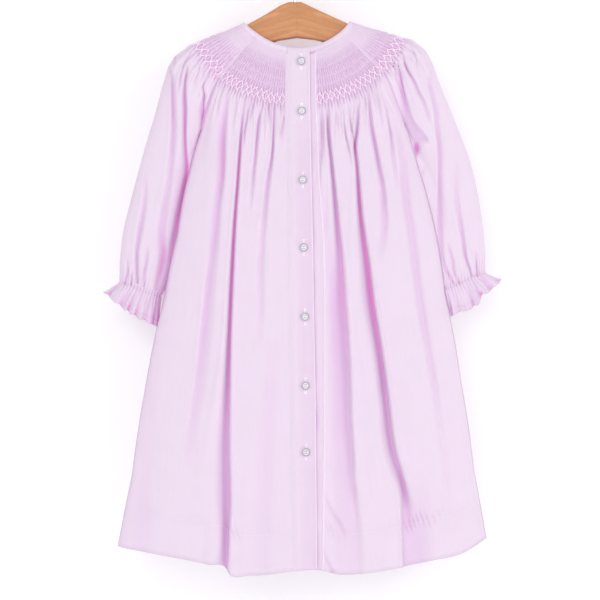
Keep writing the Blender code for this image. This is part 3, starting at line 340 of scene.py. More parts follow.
# How much lower the front of each ruffle hangs: across, lower
LEFT_RUFFLE_ROWS = ((-195, 0), (-190, 0.5), (-182, 2.5), (-170, 4.5), (-158, 4), (-148, 2.5), (-140, 0.5))
RIGHT_RUFFLE_ROWS = ((153, 0), (158, 1.5), (166, 5.5), (174, 8.5), (182, 8.5), (186.5, 1), (192, 2.5),
                     (199, 3), (205, 0))

# Both sleeves' own tables and names
SLEEVES = {
    -1: {"node": "sleeve_left", "edge": "left", "yoke": LEFT_YOKE_OUTER, "stations": LEFT_STATIONS,
         "front": LEFT_SLEEVE_FOLDS, "fold_shade_table": LEFT_SLEEVE_FOLD_SHADE, "back": LEFT_SLEEVE_BACK_FOLDS,
         "ruffle": LEFT_RUFFLE_ROWS},
    1: {"node": "sleeve_right", "edge": "right", "yoke": RIGHT_YOKE_OUTER, "stations": RIGHT_STATIONS,
        "front": RIGHT_SLEEVE_FOLDS, "fold_shade_table": RIGHT_SLEEVE_FOLD_SHADE, "back": RIGHT_SLEEVE_BACK_FOLDS,
        "ruffle": RIGHT_RUFFLE_ROWS},
}
CUFF_GATHERS = 33.0
RUFFLE_WAVES = 13.0

# Under side of the hanger bar, from the left tip to the right tip: across, drop
BAR_UNDERSIDE = ((-126, 66), (-121, 71.5), (-112, 71), (-88, 62), (-60, 52), (-36, 44.5), (-18, 38.5),
                 (0, 35.8), (18, 37.8), (32, 41.5), (60, 50), (90, 59), (113, 66), (123, 66.5), (128, 61))
BAR_HALF = 6.0
BAR_ROUNDING = 2.6
WIRE_RADIUS = 1.6
HOOK_REACH = 18.6
HOOK_MIDDLE = -17.0

# Lights: name, place in metres, width, share of the key light's power, colour
LIGHT_ROWS = (
    ("key_light", (2.0, -2.0, 0.6), 1.1, 1.0, (1.0, 0.99, 0.98)),
    ("front_light", (-0.7, -3.0, 0.5), 2.0, 1.8, (1.0, 1.0, 1.0)),
)
LIT_SPOT = (0.0, 0.0, -0.33)
# Corners of the wall and the floor, in metres
STAGE_CORNERS = {
    "pale_wall": ((-3, 0.055, -0.9), (3, 0.055, -0.9), (3, 0.055, 2.2), (-3, 0.055, 2.2)),
    "pale_floor": ((-3, -3, -0.9), (3, -3, -0.9), (3, 0.055, -0.9), (-3, 0.055, -0.9)),
}
# Camera, in metres
CAMERA_ACROSS = 0.003
CAMERA_HEIGHT = -0.362
FRONT_OF_DRESS = 0.02

# Seam ends of the body's panels: first part of the seam's name, panel, share of the panel's width
RAGLAN_ENDS = (("left_front", "front_left", 0.0), ("right_front", "front_right", 1.0),
               ("left_back", "back", 0.0), ("right_back", "back", 1.0))

INTO_FRONT = np.array((0.0, 1.0, 0.0))
INTO_BACK = np.array((0.0, -1.0, 0.0))

# Grids of the pieces made so far: row values, outer points and outward directions
GRIDS = {}


# Numbers and curves


def smooth(at, places, values):
    """Smooth curve through the values at the places, held level past both ends."""
    x = np.asarray(places, dtype=float)
    y = np.asarray(values, dtype=float)
    at = np.clip(np.asarray(at, dtype=float), x[0], x[-1])
    slope = np.gradient(y, x) if len(x) > 2 else np.full(len(x), (y[-1] - y[0]) / (x[-1] - x[0]))
    i = np.clip(np.searchsorted(x, at, side="right") - 1, 0, len(x) - 2)
    gap = x[i + 1] - x[i]
    t = (at - x[i]) / gap
    rise = (2 * t ** 3 - 3 * t ** 2 + 1) * y[i] + (t ** 3 - 2 * t ** 2 + t) * gap * slope[i]
    return rise + (3 * t ** 2 - 2 * t ** 3) * y[i + 1] + (t ** 3 - t ** 2) * gap * slope[i + 1]


def named(rows, names, name, at):
    """Value of a named column at places along the table's first column."""
    data = np.asarray(rows, dtype=float)
    return np.interp(at, data[:, 0], data[:, names.index(name)])


def body(name, radius):
    """Value of a column of the body's table at a radius."""
    return named(BODY_ROWS, BODY_NAMES, name, radius)


def band(name, radius):
    """Value of a column of the button bands' table at a radius."""
    return named(BAND_ROWS, BAND_NAMES, name, radius)


def uneven(number, seed):
    """Steady scattered value from 0 to 1 for each whole number."""
    value = np.sin(np.asarray(number, dtype=float) * 12.9898 + seed * 78.233) * 43758.5453
    return value - np.floor(value)


def bell(distance, width):
    """Soft trough, one in the middle and none beyond its width."""
    near = np.clip(np.abs(distance) / width, 0.0, 1.0)
    return 0.5 + 0.5 * np.cos(np.pi * near)


def unit(vectors):
    """The same directions with length 1."""
    return vectors / np.maximum(np.linalg.norm(vectors, axis=-1, keepdims=True), 1e-9)


def place(across, depth, drop):
    """Points in millimetres of the shared frame."""
    return np.stack(np.broadcast_arrays(across, depth, TOP_OF_BAR - drop), axis=-1)


def run_along(line):
    """Length from the start of a line to each of its points."""
    return np.concatenate(((0.0,), np.cumsum(np.linalg.norm(np.diff(line, axis=0), axis=-1))))


def points_at(wanted, length, line):
    """Points of a line at wanted lengths along it."""
    return np.stack([np.interp(wanted, length, line[:, k]) for k in range(3)], axis=1)


def evenly(line, count):
    """The same line with evenly spaced points."""
    length = run_along(line)
    return points_at(np.linspace(0.0, length[-1], count), length, line)


def ray(radius, degrees):
    """Across and drop of a place at a radius and an angle from straight down."""
    turn = np.radians(degrees)
    return RAY_ACROSS + radius * np.sin(turn), RAY_DROP + radius * np.cos(turn)


def degrees_at(radius, across):
    """Angle from straight down at which a radius reaches a place across."""
    return np.degrees(np.arcsin((across - RAY_ACROSS) / radius))


# Form of the body


def fold_form(folds, across, drop, fold_shade_table=None):
    """Depth of all folds of a table, and how much shade is painted at each spot in them, from 0 to 1."""
    depth = np.zeros(np.shape(across))
    painted_shade = np.zeros(np.shape(across))
    for number, points in enumerate(folds):
        line = np.asarray(points, dtype=float)
        inside = (drop > line[0, 1]) & (drop < line[-1, 1])
        column = {name: smooth(drop, line[:, 1], line[:, k])
                  for k, name in enumerate(FOLD_NAMES) if name != "drop"}
        deep = np.maximum(0.0, column["depth"]) * inside
        side = across - column["across"]
        width = np.maximum(1.0, np.where(side < 0, column["left"], column["right"]))
        low = np.minimum(deep, 1.4 * (column["left"] + column["right"]))
        depth += low * (bell(side, width) ** 1.15 - 0.10 * bell(np.abs(side) - 1.5 * width, 0.8 * width))
        # Shade painted in the fold, from its depth, weaker further down the dress
        fold_shade_share = (fold_shade_table or {}).get(number, 1.0) * (1.0 - 0.42 * np.clip((drop - 290.0) / 150.0, 0.0, 1.0))
        painted_shade += fold_shade_share * np.minimum(1.0, deep / 9.0) ** 0.85 * bell(side, 0.9 * width) ** 1.3
    return depth, np.minimum(1.0, painted_shade)


def rounded(part):
    """Bulge from 0 at both side edges to 1 in the middle."""
    return np.maximum(0.0, 4.0 * part * (1.0 - part)) ** 0.5


def longer(across, radius, rows=HEM_ROWS):
    """How much longer the skirt is at a place than its plain radius."""
    share = np.clip((radius - 400.0) / (HEM_RADIUS - 400.0), 0.0, 1.0)
    table = np.asarray(rows, dtype=float)
    return share * smooth(across, table[:, 0], table[:, 1])


def wrinkles(across, drop, face):
    """Faint uneven life of hanging cotton, long in the way it hangs."""
    low = np.clip((drop - 110.0) / 120.0, 0.0, 1.0)
    slow = np.sin(across / 13.0 + 1.7 * np.sin(drop / 83.0 + face)) * np.sin(drop / 96.0 + across / 61.0)
    fine = np.sin(across / 4.7 + 2.1 * np.sin(drop / 47.0)) * np.sin(drop / 38.0 + across / 23.0 + face)
    return low * (0.45 * slow + 0.14 * fine)


def front_surface(radius, degrees):
    """Outer points of the front at radii and angles, and how much shade is painted on them."""
    left = body("left", radius)
    right = body("right", radius)
    part = np.clip((degrees - left) / (right - left), 0.0, 1.0)
    across, _ = ray(radius, degrees)
    across, drop = ray(radius + longer(across, radius), degrees)
    rise = rounded(part)
    edge = body("front_edge", radius)
    depth = edge + (body("front", radius) - edge) * rise
    tame = np.minimum(1.0, 1.25 * rise)
    folds, painted_shade = fold_form(FRONT_FOLDS, across, drop, FRONT_FOLD_SHADE)
    depth = depth + (folds + wrinkles(across, drop, 1.0)) * tame
    return place(across, depth, drop), painted_shade * tame


def back_surface(radius, degrees):
    """Outer points of the back at radii and angles, and how much shade is painted on them."""
    left = body("left", radius)
    right = body("right", radius)
    part = np.clip((degrees - left) / (right - left), 0.0, 1.0)
    near_neck = np.maximum(0.0, (SMOCK_RADIUS - radius) / (SMOCK_RADIUS - YOKE_RADIUS))
    lower = BACK_NECK_DROP * rounded(part) * near_neck
    across, _ = ray(radius, degrees)
    across, drop = ray(radius + lower + longer(across, radius, BACK_HEM_ROWS), degrees)
    rise = rounded(part)
    edge = body("back_edge", radius)
    depth = edge + (body("back", radius) - edge) * rise
    tame = np.minimum(1.0, 1.25 * rise)
    folds, painted_shade = fold_form(BACK_FOLDS, across, drop)
    depth = depth - (folds + wrinkles(across, drop, 4.0)) * tame
    return place(across, depth, drop), painted_shade * tame


def column_degrees(radius, start, end, columns, folds, guides, steps):
    """Angle of each column: evenly spaced in the smocking, then down along the long folds."""
    numbers = [0]
    degrees = [start]
    for column, number, onward in guides:
        spots = [(spot[0], spot[1]) for spot in folds[number]] + list(onward)
        radii = [math.hypot(x - RAY_ACROSS, y - RAY_DROP) for x, y in spots]
        turns = [math.degrees(math.atan2(x - RAY_ACROSS, y - RAY_DROP)) for x, y in spots]
        numbers.append(column)
        degrees.append(float(smooth(radius, radii, turns)))
    numbers.append(columns)
    degrees.append(end)
    level = start + (end - start) * steps / columns
    share = min(1.0, max(0.0, (radius - SMOCK_RADIUS) / 26.0))
    share = share * share * (3.0 - 2.0 * share)
    return level * (1.0 - share) + np.interp(steps, numbers, degrees) * share


def pleat_relief(radius, phase, pleats, seed, plain_to=76.0):
    """Height of the smocked pleats and of the gathers they let out below, and how much shade is painted in
    the hollows.
    """
    held = np.clip((129.0 - radius) / 6.0, 0.0, 1.0)
    wander = np.sin(0.5 * radius + 2.3 * np.sin(1.9 * phase * pleats + seed))
    wander = wander * np.sin(0.21 * radius + phase * 9.0)
    from_ends = np.clip(np.minimum(phase, 1.0 - phase) * pleats, 0.0, 1.0)
    place_in = phase * pleats + 0.17 * wander * held * from_ends
    number = np.floor(place_in)
    ridge = np.abs(np.sin(np.pi * place_in)) ** 0.8
    pinch = np.zeros_like(phase)
    for cable in CABLE_RADII:
        pinch = np.maximum(pinch, bell(radius - cable, 2.3) * 0.65)
    way = np.abs(((place_in / 2.0) % 1.0) * 2.0 - 1.0)
    for middle, turn in WAVE_ROWS:
        pinch = np.maximum(pinch, bell(radius - middle - turn * WAVE_SWING * (2.0 * way - 1.0), 2.4) * 0.85)
    inside = np.clip((radius - plain_to) / 14.0, 0.2, 1.0)
    inside = inside * np.clip((radius - YOKE_RADIUS) / 2.5, 0.1, 1.0)
    let_out = np.maximum(0.0, radius - 125.0)
    reach = 5.0 + 28.0 * uneven(number, seed) ** 2.5
    fade = np.exp(-let_out / reach)
    swell = 1.0 + 0.25 * bell(radius - 114.0, 6.0) + 0.7 * bell(radius - 130.0, 8.0)
    soften = np.clip((SMOCK_RADIUS + 60.0 - radius) / 60.0, 0.0, 1.0)
    vee = np.sin(np.pi * (place_in / 2.0 + 0.5)) ** 2 * bell(radius - 130.5, 8.0)
    rise = inside * (1.0 - pinch) * ridge * fade * swell * soften + 0.9 * vee
    # Shade painted between the pleats, in the gathers under the zigzag and faintly over the whole smocked
    # part
    gap = (1.0 - ridge) ** 1.2
    painted_shade = gap * inside * fade * soften * (0.5 + 0.5 * bell(radius - 121.0, 12.0)) * (1.0 - 0.4 * pinch)
    painted_shade = painted_shade + 0.45 * (1.0 - vee) * bell(radius - 128.5, 5.0) * gap
    painted_shade = painted_shade + (0.07 + 0.15 * inside) * np.clip((129.0 - radius) / 8.0, 0.0, 1.0)
    pair = np.floor(place_in / 2.0)
    broad = np.sin(np.pi * place_in / 2.0 + 2.2 * uneven(pair, seed + 3.0)) ** 2
    broad = broad * bell(radius - 146.0, 30.0) * (0.6 + 1.3 * uneven(pair, seed + 5.0))
    return rise, broad, painted_shade


# Meshes


def normals_of(grid, away_from):
    """Outward direction at each point of a grid."""
    normal = unit(np.cross(np.gradient(grid, axis=1), np.gradient(grid, axis=0)))
    if np.sum(normal * (grid - away_from)) < 0.0:
        normal = -normal
    return normal


def shell(name, outer, inner, material, closed_from=None, hollow=None):
    """Closed thin shell between two grids. From the row closed_from on it is a tube."""
    rows, columns = outer.shape[:2]
    count = rows * columns
    index = np.arange(count).reshape(rows, columns)
    inside = index + count
    if closed_from is not None:
        index[closed_from:, -1] = index[closed_from:, 0]
        inside[closed_from:, -1] = inside[closed_from:, 0]
    parts = []
    for grid, flip in ((index, False), (inside, True)):
        quads = np.stack((grid[:-1, :-1], grid[:-1, 1:], grid[1:, 1:], grid[1:, :-1]), axis=-1)
        quads = quads.reshape(-1, 4)
        parts.append(quads[:, ::-1] if flip else quads)
    for a, b in ((index[0], inside[0]), (inside[-1], index[-1])):
        parts.append(np.stack((b[:-1], b[1:], a[1:], a[:-1]), axis=-1))
    stop = rows if closed_from is None else closed_from + 1
    for a, b in ((inside[:stop, 0], index[:stop, 0]), (index[:stop, -1], inside[:stop, -1])):
        parts.append(np.stack((b[:-1], b[1:], a[1:], a[:-1]), axis=-1))
    faces = np.concatenate(parts)
    points = np.concatenate((outer.reshape(-1, 3), inner.reshape(-1, 3))) * MM
    used = np.unique(faces)
    renumber = np.zeros(2 * count, dtype=int)
    renumber[used] = np.arange(len(used))
    thing = mesh_object(name, points[used], renumber[faces], material)
    mesh = thing.data
    # Shade painted on the cloth, kept as an attribute; the inner face gets more painted shade, some even
    # where the outer face has none
    values = np.zeros((2, rows, columns))
    if hollow is not None:
        values[0] = hollow
        values[1] = 0.3 + 0.5 * hollow
    layer = mesh.attributes.new("hollow", "FLOAT", "POINT")
    layer.data.foreach_set("value", values.reshape(-1)[used].astype(np.float32))
    add_cloth_map(mesh, outer, used)
    return thing


def add_cloth_map(mesh, outer, used):
    """Map of the cloth in metres, across and along the threads, at the middle row's true width."""
    over = run_along(outer[outer.shape[0] // 2])
    along = run_along(outer[:, outer.shape[1] // 2])
    flat = np.stack(np.broadcast_arrays(over[None, :], along[:, None]), axis=-1).reshape(-1, 2) * MM
    both = np.concatenate((flat, flat))[used]
    corners = np.zeros(len(mesh.loops), dtype=np.int32)
    mesh.loops.foreach_get("vertex_index", corners)
    layer = mesh.uv_layers.new(name="cloth_map")
    layer.data.foreach_set("uv", both[corners].astype(np.float32).ravel())


def mesh_object(name, points, faces, material):
    """One object of the dress from points in metres and faces."""
    mesh = bpy.data.meshes.new(name)
    mesh.from_pydata(np.asarray(points).tolist(), [], [tuple(int(k) for k in face) for face in faces])
    shape = bmesh.new()
    shape.from_mesh(mesh)
    bmesh.ops.recalc_face_normals(shape, faces=shape.faces)
    shape.to_mesh(mesh)
    shape.free()
    mesh.materials.append(material)
    mesh.polygons.foreach_set("use_smooth", [True] * len(mesh.polygons))
    mesh.update()
    thing = bpy.data.objects.new(name, mesh)
    bpy.context.scene.collection.objects.link(thing)
    if not len(mesh.polygons):
        raise RuntimeError(name + " has no faces")
    return thing


def settle(thing, nodes=()):
    """Fixes a piece to the dress and lets it stand for its solids."""
    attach(thing, "root")
    if nodes:
        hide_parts(*nodes)
    return thing


def panel_grid(name, edges, surface, face, columns, folds, guides, pleats, per_pleat, cloth, seed,
               extra=None):
    """Fine grid of a body panel, with its smocked pleats and gathers raised, and the shade painted on it."""
    radii = np.concatenate((np.arange(73.0, 124.0, 1.0), np.arange(124.0, 176.0, 2.0),
                            np.arange(176.0, 591.0, 4.0), (HEM_RADIUS,)))
    count = pleats * per_pleat
    steps = np.linspace(0.0, columns, count + 1)
    phase = np.linspace(0.0, 1.0, count + 1)
    degrees = np.zeros((len(radii), count + 1))
    for i, radius in enumerate(radii):
        start, end = edges(radius)
        degrees[i] = column_degrees(radius, start, end, columns, folds, guides, steps)
    grid, painted_shade = surface(radii[:, None], degrees)
    if extra is not None:
        grid[..., 1] += extra(grid, radii[:, None])
    flat_radii = np.broadcast_to(radii[:, None], degrees.shape)
    relief, broad, pleat_gap_shade = pleat_relief(flat_radii, np.broadcast_to(phase, degrees.shape), pleats, seed)
    ends = np.clip(np.minimum(phase, 1.0 - phase) * pleats * 1.5, 0.0, 1.0)
    grid[..., 1] += face * (relief * cloth.pleat_height + broad * cloth.gather_height) / MM * ends
    hem, pucker_shade = hem_relief(flat_radii, grid[..., 0], seed)
    grid[..., 1] += face * hem * ends
    normal = normals_of(grid, np.array((0.0, -face * 4000.0, -300.0)))
    GRIDS[name] = (radii, grid, normal)
    return radii, grid, normal, np.clip(painted_shade + pleat_gap_shade * ends + pucker_shade, 0.0, 1.0)


def hem_relief(radius, across, seed):
    """Step of the turned-up hem with the puckers along its stitches, and how much shade is painted in their
    hollows.
    """
    line = HEM_RADIUS - HEM_FOLD
    step = 0.35 * np.clip((radius - line) / 1.5, 0.0, 1.0)
    strong = 0.25 + 0.9 * bell(across - 122.0, 30.0) + 0.6 * bell(across - 30.0, 20.0)
    strong = strong + 0.45 * bell(across + 62.0, 12.0) + 0.25 * bell(across + 148.0, 16.0)
    slant = across - 0.35 * (radius - line)
    crease = 0.5 + 0.5 * np.sin(slant * 1.25 + 1.6 * np.sin(slant / 7.0 + seed))
    near = bell(radius - line + 2.0 + 3.0 * np.sin(across / 3.7), 11.0)
    height = step - 0.25 * bell(radius - line, 1.5) - 1.1 * near * strong * crease ** 3
    return height, 0.6 * near * np.clip(strong - 0.25, 0.0, 1.0) * crease ** 3


def make_panel(node, grid, normal, painted_shade, cloth, looks, sides):
    """Thin cloth panel on its solid's form, its side edges turned in along the seams."""
    inward = -normal.copy()
    for column, direction in sides:
        inward[:, column] = direction
    inner = grid + inward * cloth.wall / MM
    thing = shell(node + "_cloth", grid, inner, cotton(node + "_cotton", looks), hollow=painted_shade)
    settle(thing, (node,))


def side_turn(radii, face, side):
    """Inward direction along a side edge: straight back in the yoke, then towards the middle."""
    low = np.clip((radii - 163.0) / 13.0, 0.0, 1.0)[:, None]
    return unit((1.0 - low) * np.array((0.0, -face, 0.0)) + low * np.array((-side, 0.0, 0.0)))


# Form of the sleeves


def sleeve_line(inner, outer, seam, half, middle, bow, count):
    """Evenly spaced line round a sleeve, from the front seam over the outer edge to the back seam."""
    turn = np.linspace(0.0, np.pi, 241)
    reach = np.maximum(0.0, np.sin(turn)) ** 0.6
    swing = np.sign(np.cos(turn)) * np.abs(np.cos(turn)) ** 0.6
    open_up = np.sin(np.minimum(1.0, reach / 0.45) * np.pi / 2.0) ** 0.7
    depth = middle - swing * (seam + (half - seam) * open_up)
    wide = outer[0] - inner[0]
    fall = outer[1] - inner[1]
    chord = math.hypot(wide, fall)
    lift = bow * 4.0 * reach * (1.0 - reach)
    across = inner[0] + wide * reach + math.copysign(1.0, outer[0]) * lift * abs(fall) / chord
    drop = inner[1] + fall * reach + lift * abs(wide) / chord
    line = place(across, depth, drop)
    return evenly(line, count)


def yoke_ends(side, radius, gap):
    """Inner and outer point, seam depth, half depth and middle of a sleeve line in the yoke."""
    across, drop = ray(radius, float(body(SLEEVES[side]["edge"], radius)))
    table = np.asarray(SLEEVES[side]["yoke"], dtype=float)
    outer = tuple(float(np.interp(radius, table[:, 0], table[:, k])) for k in (1, 2))
    seam = 0.5 * float(body("back_edge", radius) - body("front_edge", radius))
    middle = 0.5 * float(body("back_edge", radius) + body("front_edge", radius))
    if radius >= UNDERARM_RADIUS:
        seam = 0.0
    half = float(np.interp(radius, (66, 73, 124, 176), (9.2, 9.8, 15.0, 15.0)))
    return (float(across) + side * gap, float(drop)), outer, seam, half, middle


def yoke_line(side, radius, gap, count):
    """Line round the sleeve's head at a radius, from the front seam to the back seam."""
    inner, outer, seam, half, middle = yoke_ends(side, radius, gap)
    bow = float(np.interp(radius, (66, 124, 150), (0.6, 1.5, 0.0)))
    return sleeve_line(inner, outer, seam, half, middle, bow, count)


def station_line(side, station, count):
    """Line round the closed sleeve at a place between the stations, the underarm being 0."""
    inner, outer, _, half, middle = yoke_ends(side, UNDERARM_RADIUS, SEAM)
    first = (inner[0], inner[1], outer[0], outer[1], half, middle)
    table = np.array((first,) + SLEEVES[side]["stations"], dtype=float)
    steps = np.arange(len(table))
    values = {name: float(smooth(station, steps, table[:, k])) for k, name in enumerate(SLEEVE_NAMES)}
    inner = (values["in_across"], values["in_drop"])
    outer = (values["out_across"], values["out_drop"])
    return sleeve_line(inner, outer, 0.0, values["half"], values["middle"], 0.0, count)


def beside_body(side, grid, off, phase):
    """How close the front of a sleeve lies to the body's edge, and how far it comes forward there."""
    drop = TOP_OF_BAR - grid[..., 2]
    line = np.arange(124.0, 440.0, 4.0)
    edge, level = ray(line, body(SLEEVES[side]["edge"], line))
    beyond = np.abs(grid[..., 0]) - np.abs(np.interp(drop, level, edge))
    beside = bell(np.maximum(0.0, beyond), 20.0)
    beside = beside * np.clip((drop - 130.0) / 60.0, 0.0, 1.0) * (drop < 340.0) * (off < 0)
    forward = np.maximum(0.0, grid[..., 1] - np.interp(drop, level, body("front_edge", line)) - 1.0)
    forward = forward * bell(np.maximum(0.0, beyond), 30.0) * np.clip((beyond + 1.8) / 2.0, 0.0, 1.0)
    forward = forward * np.clip((drop - 118.0) / 24.0, 0.0, 1.0) * np.clip((330.0 - drop) / 40.0, 0.0, 1.0)
    forward = forward * (phase < 0.5)
    if side < 0:
        forward = forward * np.clip((182.0 - drop) / 18.0, 0.0, 1.0)
        forward = forward + 1.5 * beside * np.sin(np.pi * np.clip(phase * 12.0, 0.0, 0.5))
    return beside, forward


def cuff_gathers(side, phase, where):
    """Crimped gathers at the elastic, and how strongly it holds them at each row."""
    wander = 0.35 * np.sin(phase * 31.0 + side) * np.clip((CUFF_STATION - where) / 2.0, 0.0, 1.0)
    crimp = np.abs(np.sin(np.pi * CUFF_GATHERS * phase + wander)) ** 0.8
    length = 0.5 + 1.1 * uneven(np.floor(CUFF_GATHERS * phase), 9.0 + side)
    above = np.clip(1.0 - (CUFF_STATION - where) / length, 0.0, 1.0) ** 1.5
    below = np.clip(1.0 - (where - CUFF_STATION) / 1.3, 0.0, 1.0)
    return crimp, np.where(where < CUFF_STATION, above, below)


def ruffle_waves(side, phase, flare):
    """Places, waves and small curls of the ruffle's free edge."""
    swing = RUFFLE_WAVES * phase + 0.32 * np.sin(9.0 * phase + side) + 0.22 * np.sin(23.0 * phase)
    wave = np.sin(2.0 * np.pi * swing) * (0.55 + 0.75 * uneven(np.floor(2.0 * swing), 3.0 + side))
    curl = np.sin(2.0 * np.pi * 29.0 * phase + 2.5 * flare + 1.0 + side)
    curl = curl * np.sin(11.0 * phase + 2.0 * flare)
    return swing, wave, curl


def sleeve_grid(side, pleats, per_pleat, cloth):
    """Fine grid of a sleeve with its folds, smocked head, elastic gather and ruffle, and the shade painted
    on it.
    """
    radii = np.concatenate((np.arange(73.0, 124.0, 1.0), np.arange(124.0, 176.0, 2.0), (176.0,)))
    stations = np.concatenate((np.arange(0.1, 6.0, 0.1), np.arange(6.0, 9.0, 0.06), (9.0,)))
    count = pleats * per_pleat + 1
    lines = [yoke_line(side, float(radius), SEAM, count) for radius in radii]
    lines += [station_line(side, float(station), count) for station in stations]
    grid = np.array(lines)
    closed_from = len(radii) - 1
    phase = np.linspace(0.0, 1.0, count)
    middle = grid.mean(axis=1, keepdims=True)
    turn = np.sin(np.pi * phase) ** 0.5
    off = grid[..., 1] - middle[..., 1]
    reach = np.minimum(1.0, np.abs(off) / 6.0) * turn
    drop = TOP_OF_BAR - grid[..., 2]
    front, front_fold_shade = fold_form(SLEEVES[side]["front"], grid[..., 0], drop, SLEEVES[side]["fold_shade_table"])
    rear, rear_fold_shade = fold_form(SLEEVES[side]["back"], grid[..., 0], drop)
    life = wrinkles(grid[..., 0] * 1.3, drop, 2.0 + side) * 0.8
    near = reach ** 0.6
    beside, forward = beside_body(side, grid, off, phase)
    grid[..., 1] += np.where(off < 0, front + life, -rear - life) * near - forward
    painted_shade = np.where(off < 0, front_fold_shade, rear_fold_shade) * near ** 0.4
    normal = normals_of(grid, middle)
    flat_radii = np.full(grid.shape[:2], 400.0)
    flat_radii[:len(radii)] = radii[:, None]
    relief, broad, pleat_gap_shade = pleat_relief(flat_radii, np.broadcast_to(phase, flat_radii.shape), pleats,
                                       11.0 + side, 86.0)
    ends = np.clip(np.minimum(phase, 1.0 - phase) * pleats * 1.5, 0.0, 1.0)
    rise = (relief * cloth.pleat_height + broad * cloth.gather_height) / MM * ends
    where = np.concatenate((np.full(len(radii), -1.0), stations))[:, None]
    crimp, held = cuff_gathers(side, phase, where)
    rise = rise + 1.5 * (crimp - 0.5) * held - 1.0 * bell(where - CUFF_STATION, 0.22)
    flare = np.clip((where - CUFF_STATION) / (LAST_STATION - CUFF_STATION), 0.0, 1.0)
    swing, wave, curl = ruffle_waves(side, phase, flare)
    rise = rise + flare * turn * (3.4 * wave * (0.5 + 0.5 * flare) + 1.0 * curl)
    hang = np.asarray(SLEEVES[side]["ruffle"], dtype=float)
    lower = np.interp(grid[..., 0], hang[:, 0], hang[:, 1]) * np.where(off < 0, 1.0, 0.25)
    grid = grid + normal * rise[..., None]
    grid[..., 2] -= flare * (1.1 * wave + 0.8 * curl + 2.2 * np.clip(2.0 * phase - 1.0, 0.0, 1.0)) * turn
    grid[..., 2] -= flare ** 1.5 * (lower + 2.0 * np.abs(np.sin(np.pi * swing + 0.4)) - 1.0) * turn
    grid = grid + normal * 0.3 * bell(where - LAST_STATION, 0.32)[..., None]
    normal = normals_of(grid, middle)
    # Shade painted between the pleats and the elastic's crimps, in the ruffle's waves and curls, and along
    # its stitch line and rolled edge
    painted_shade = painted_shade + pleat_gap_shade * ends + 0.7 * (1.0 - crimp) ** 1.3 * held
    painted_shade = painted_shade + 0.75 * flare * np.clip(-wave, 0.0, 1.0) ** 1.5
    painted_shade = painted_shade + 0.3 * flare * np.clip(-curl, 0.0, 1.0)
    painted_shade = painted_shade + 0.12 * bell(where - LAST_STATION + 0.3, 0.12) + 0.2 * bell(where - LAST_STATION, 0.12)
    # Shade painted along the underarm seams, and on the left a painted shadow beside the body's edge, where
    # the body shades the sleeve
    underarm = bell(np.minimum(phase, 1.0 - phase), 0.02) * (flat_radii > 150.0)
    if side < 0:
        painted_shade = painted_shade + 0.5 * beside ** 1.3 + 0.9 * underarm
    else:
        painted_shade = painted_shade + 0.2 * underarm
    rows = np.concatenate((radii, STATION_ROWS + stations))
    GRIDS[SLEEVES[side]["node"]] = (rows, grid, normal)
    return rows, grid, normal, closed_from, np.clip(painted_shade, 0.0, 1.0)


# Bands and binding


def band_surface(radius, across, back_by):
    """Points on the flat middle of the front, moved back by a distance."""
    spot, _ = front_surface(radius, degrees_at(radius, 4.0))
    degrees = degrees_at(radius, across)
    over, drop = ray(radius + longer(across, radius), degrees)
    return place(over, spot[..., 1] + back_by, drop)


def band_grid(left, lap, right, back_by, lift):
    """Fine grid of a straight folded band down the front, with soft edges."""
    top = NECK_RADIUS + 0.3 if lift else YOKE_RADIUS
    radii = np.concatenate((np.arange(top, 593.0, 2.5), (HEM_RADIUS,)))
    share = np.linspace(0.0, 1.0, 29)
    start = band(left, radii) - lap
    end = band(right, radii)
    across = start[:, None] * (1.0 - share) + end[:, None] * share
    grid = band_surface(np.broadcast_to(radii[:, None], across.shape), across, back_by)
    edge = np.minimum(share, 1.0 - share) * (end - start)[:, None]
    grid[..., 1] += 0.45 * np.clip(1.0 - edge / 0.9, 0.0, 1.0) ** 2
    grid[..., 1] += 0.22 * bell(edge - 2.3, 0.8)
    if lift:
        below_neck = np.clip((radii[:, None] - 72.0) / 4.0, 0.0, 1.0)
        grid[..., 1] += BAND_RAISED * np.clip(1.0 - share * 4.0, 0.0, 1.0) * below_neck
    drop = TOP_OF_BAR - grid[..., 2]
    between_buttons = np.abs(np.sin(np.pi * (drop - 44.0) / 68.5)) * np.clip(drop / 200.0, 0.2, 1.0)
    grid[..., 1] -= lift * share ** 4 * between_buttons
    grid[..., 1] += 0.12 * np.sin(drop / 3.1 + across / 5.0) * np.sin(drop / 17.0)
    return radii, grid


def binding_rings(count):
    """Lines of the neck binding from its upper end round the neck to its lower end."""
    rings = []
    for radius in (NECK_RADIUS, YOKE_RADIUS - SEAM):
        left = float(body("left", radius))
        right = float(body("right", radius))
        line = [front_surface(radius, np.linspace(float(degrees_at(radius, 9.8)), left, 46)[:-1])[0]]
        line.append(yoke_line(-1, radius, 0.0, 41)[:-1])
        line.append(back_surface(radius, np.linspace(left, right, 81)[:-1])[0])
        line.append(yoke_line(1, radius, 0.0, 41)[::-1][:-1])
        last, _ = front_surface(radius, np.linspace(right, float(degrees_at(radius, -2.0)), 46))
        share = np.clip((46.0 - last[:, 0]) / 30.0, 0.0, 1.0)
        last[:, 1] += (BINDING_WALL + 0.35) * share ** 2 * (3.0 - 2.0 * share)
        line.append(last)
        rings.append(evenly(np.concatenate(line), count))
    return np.array(rings)


# Stitches


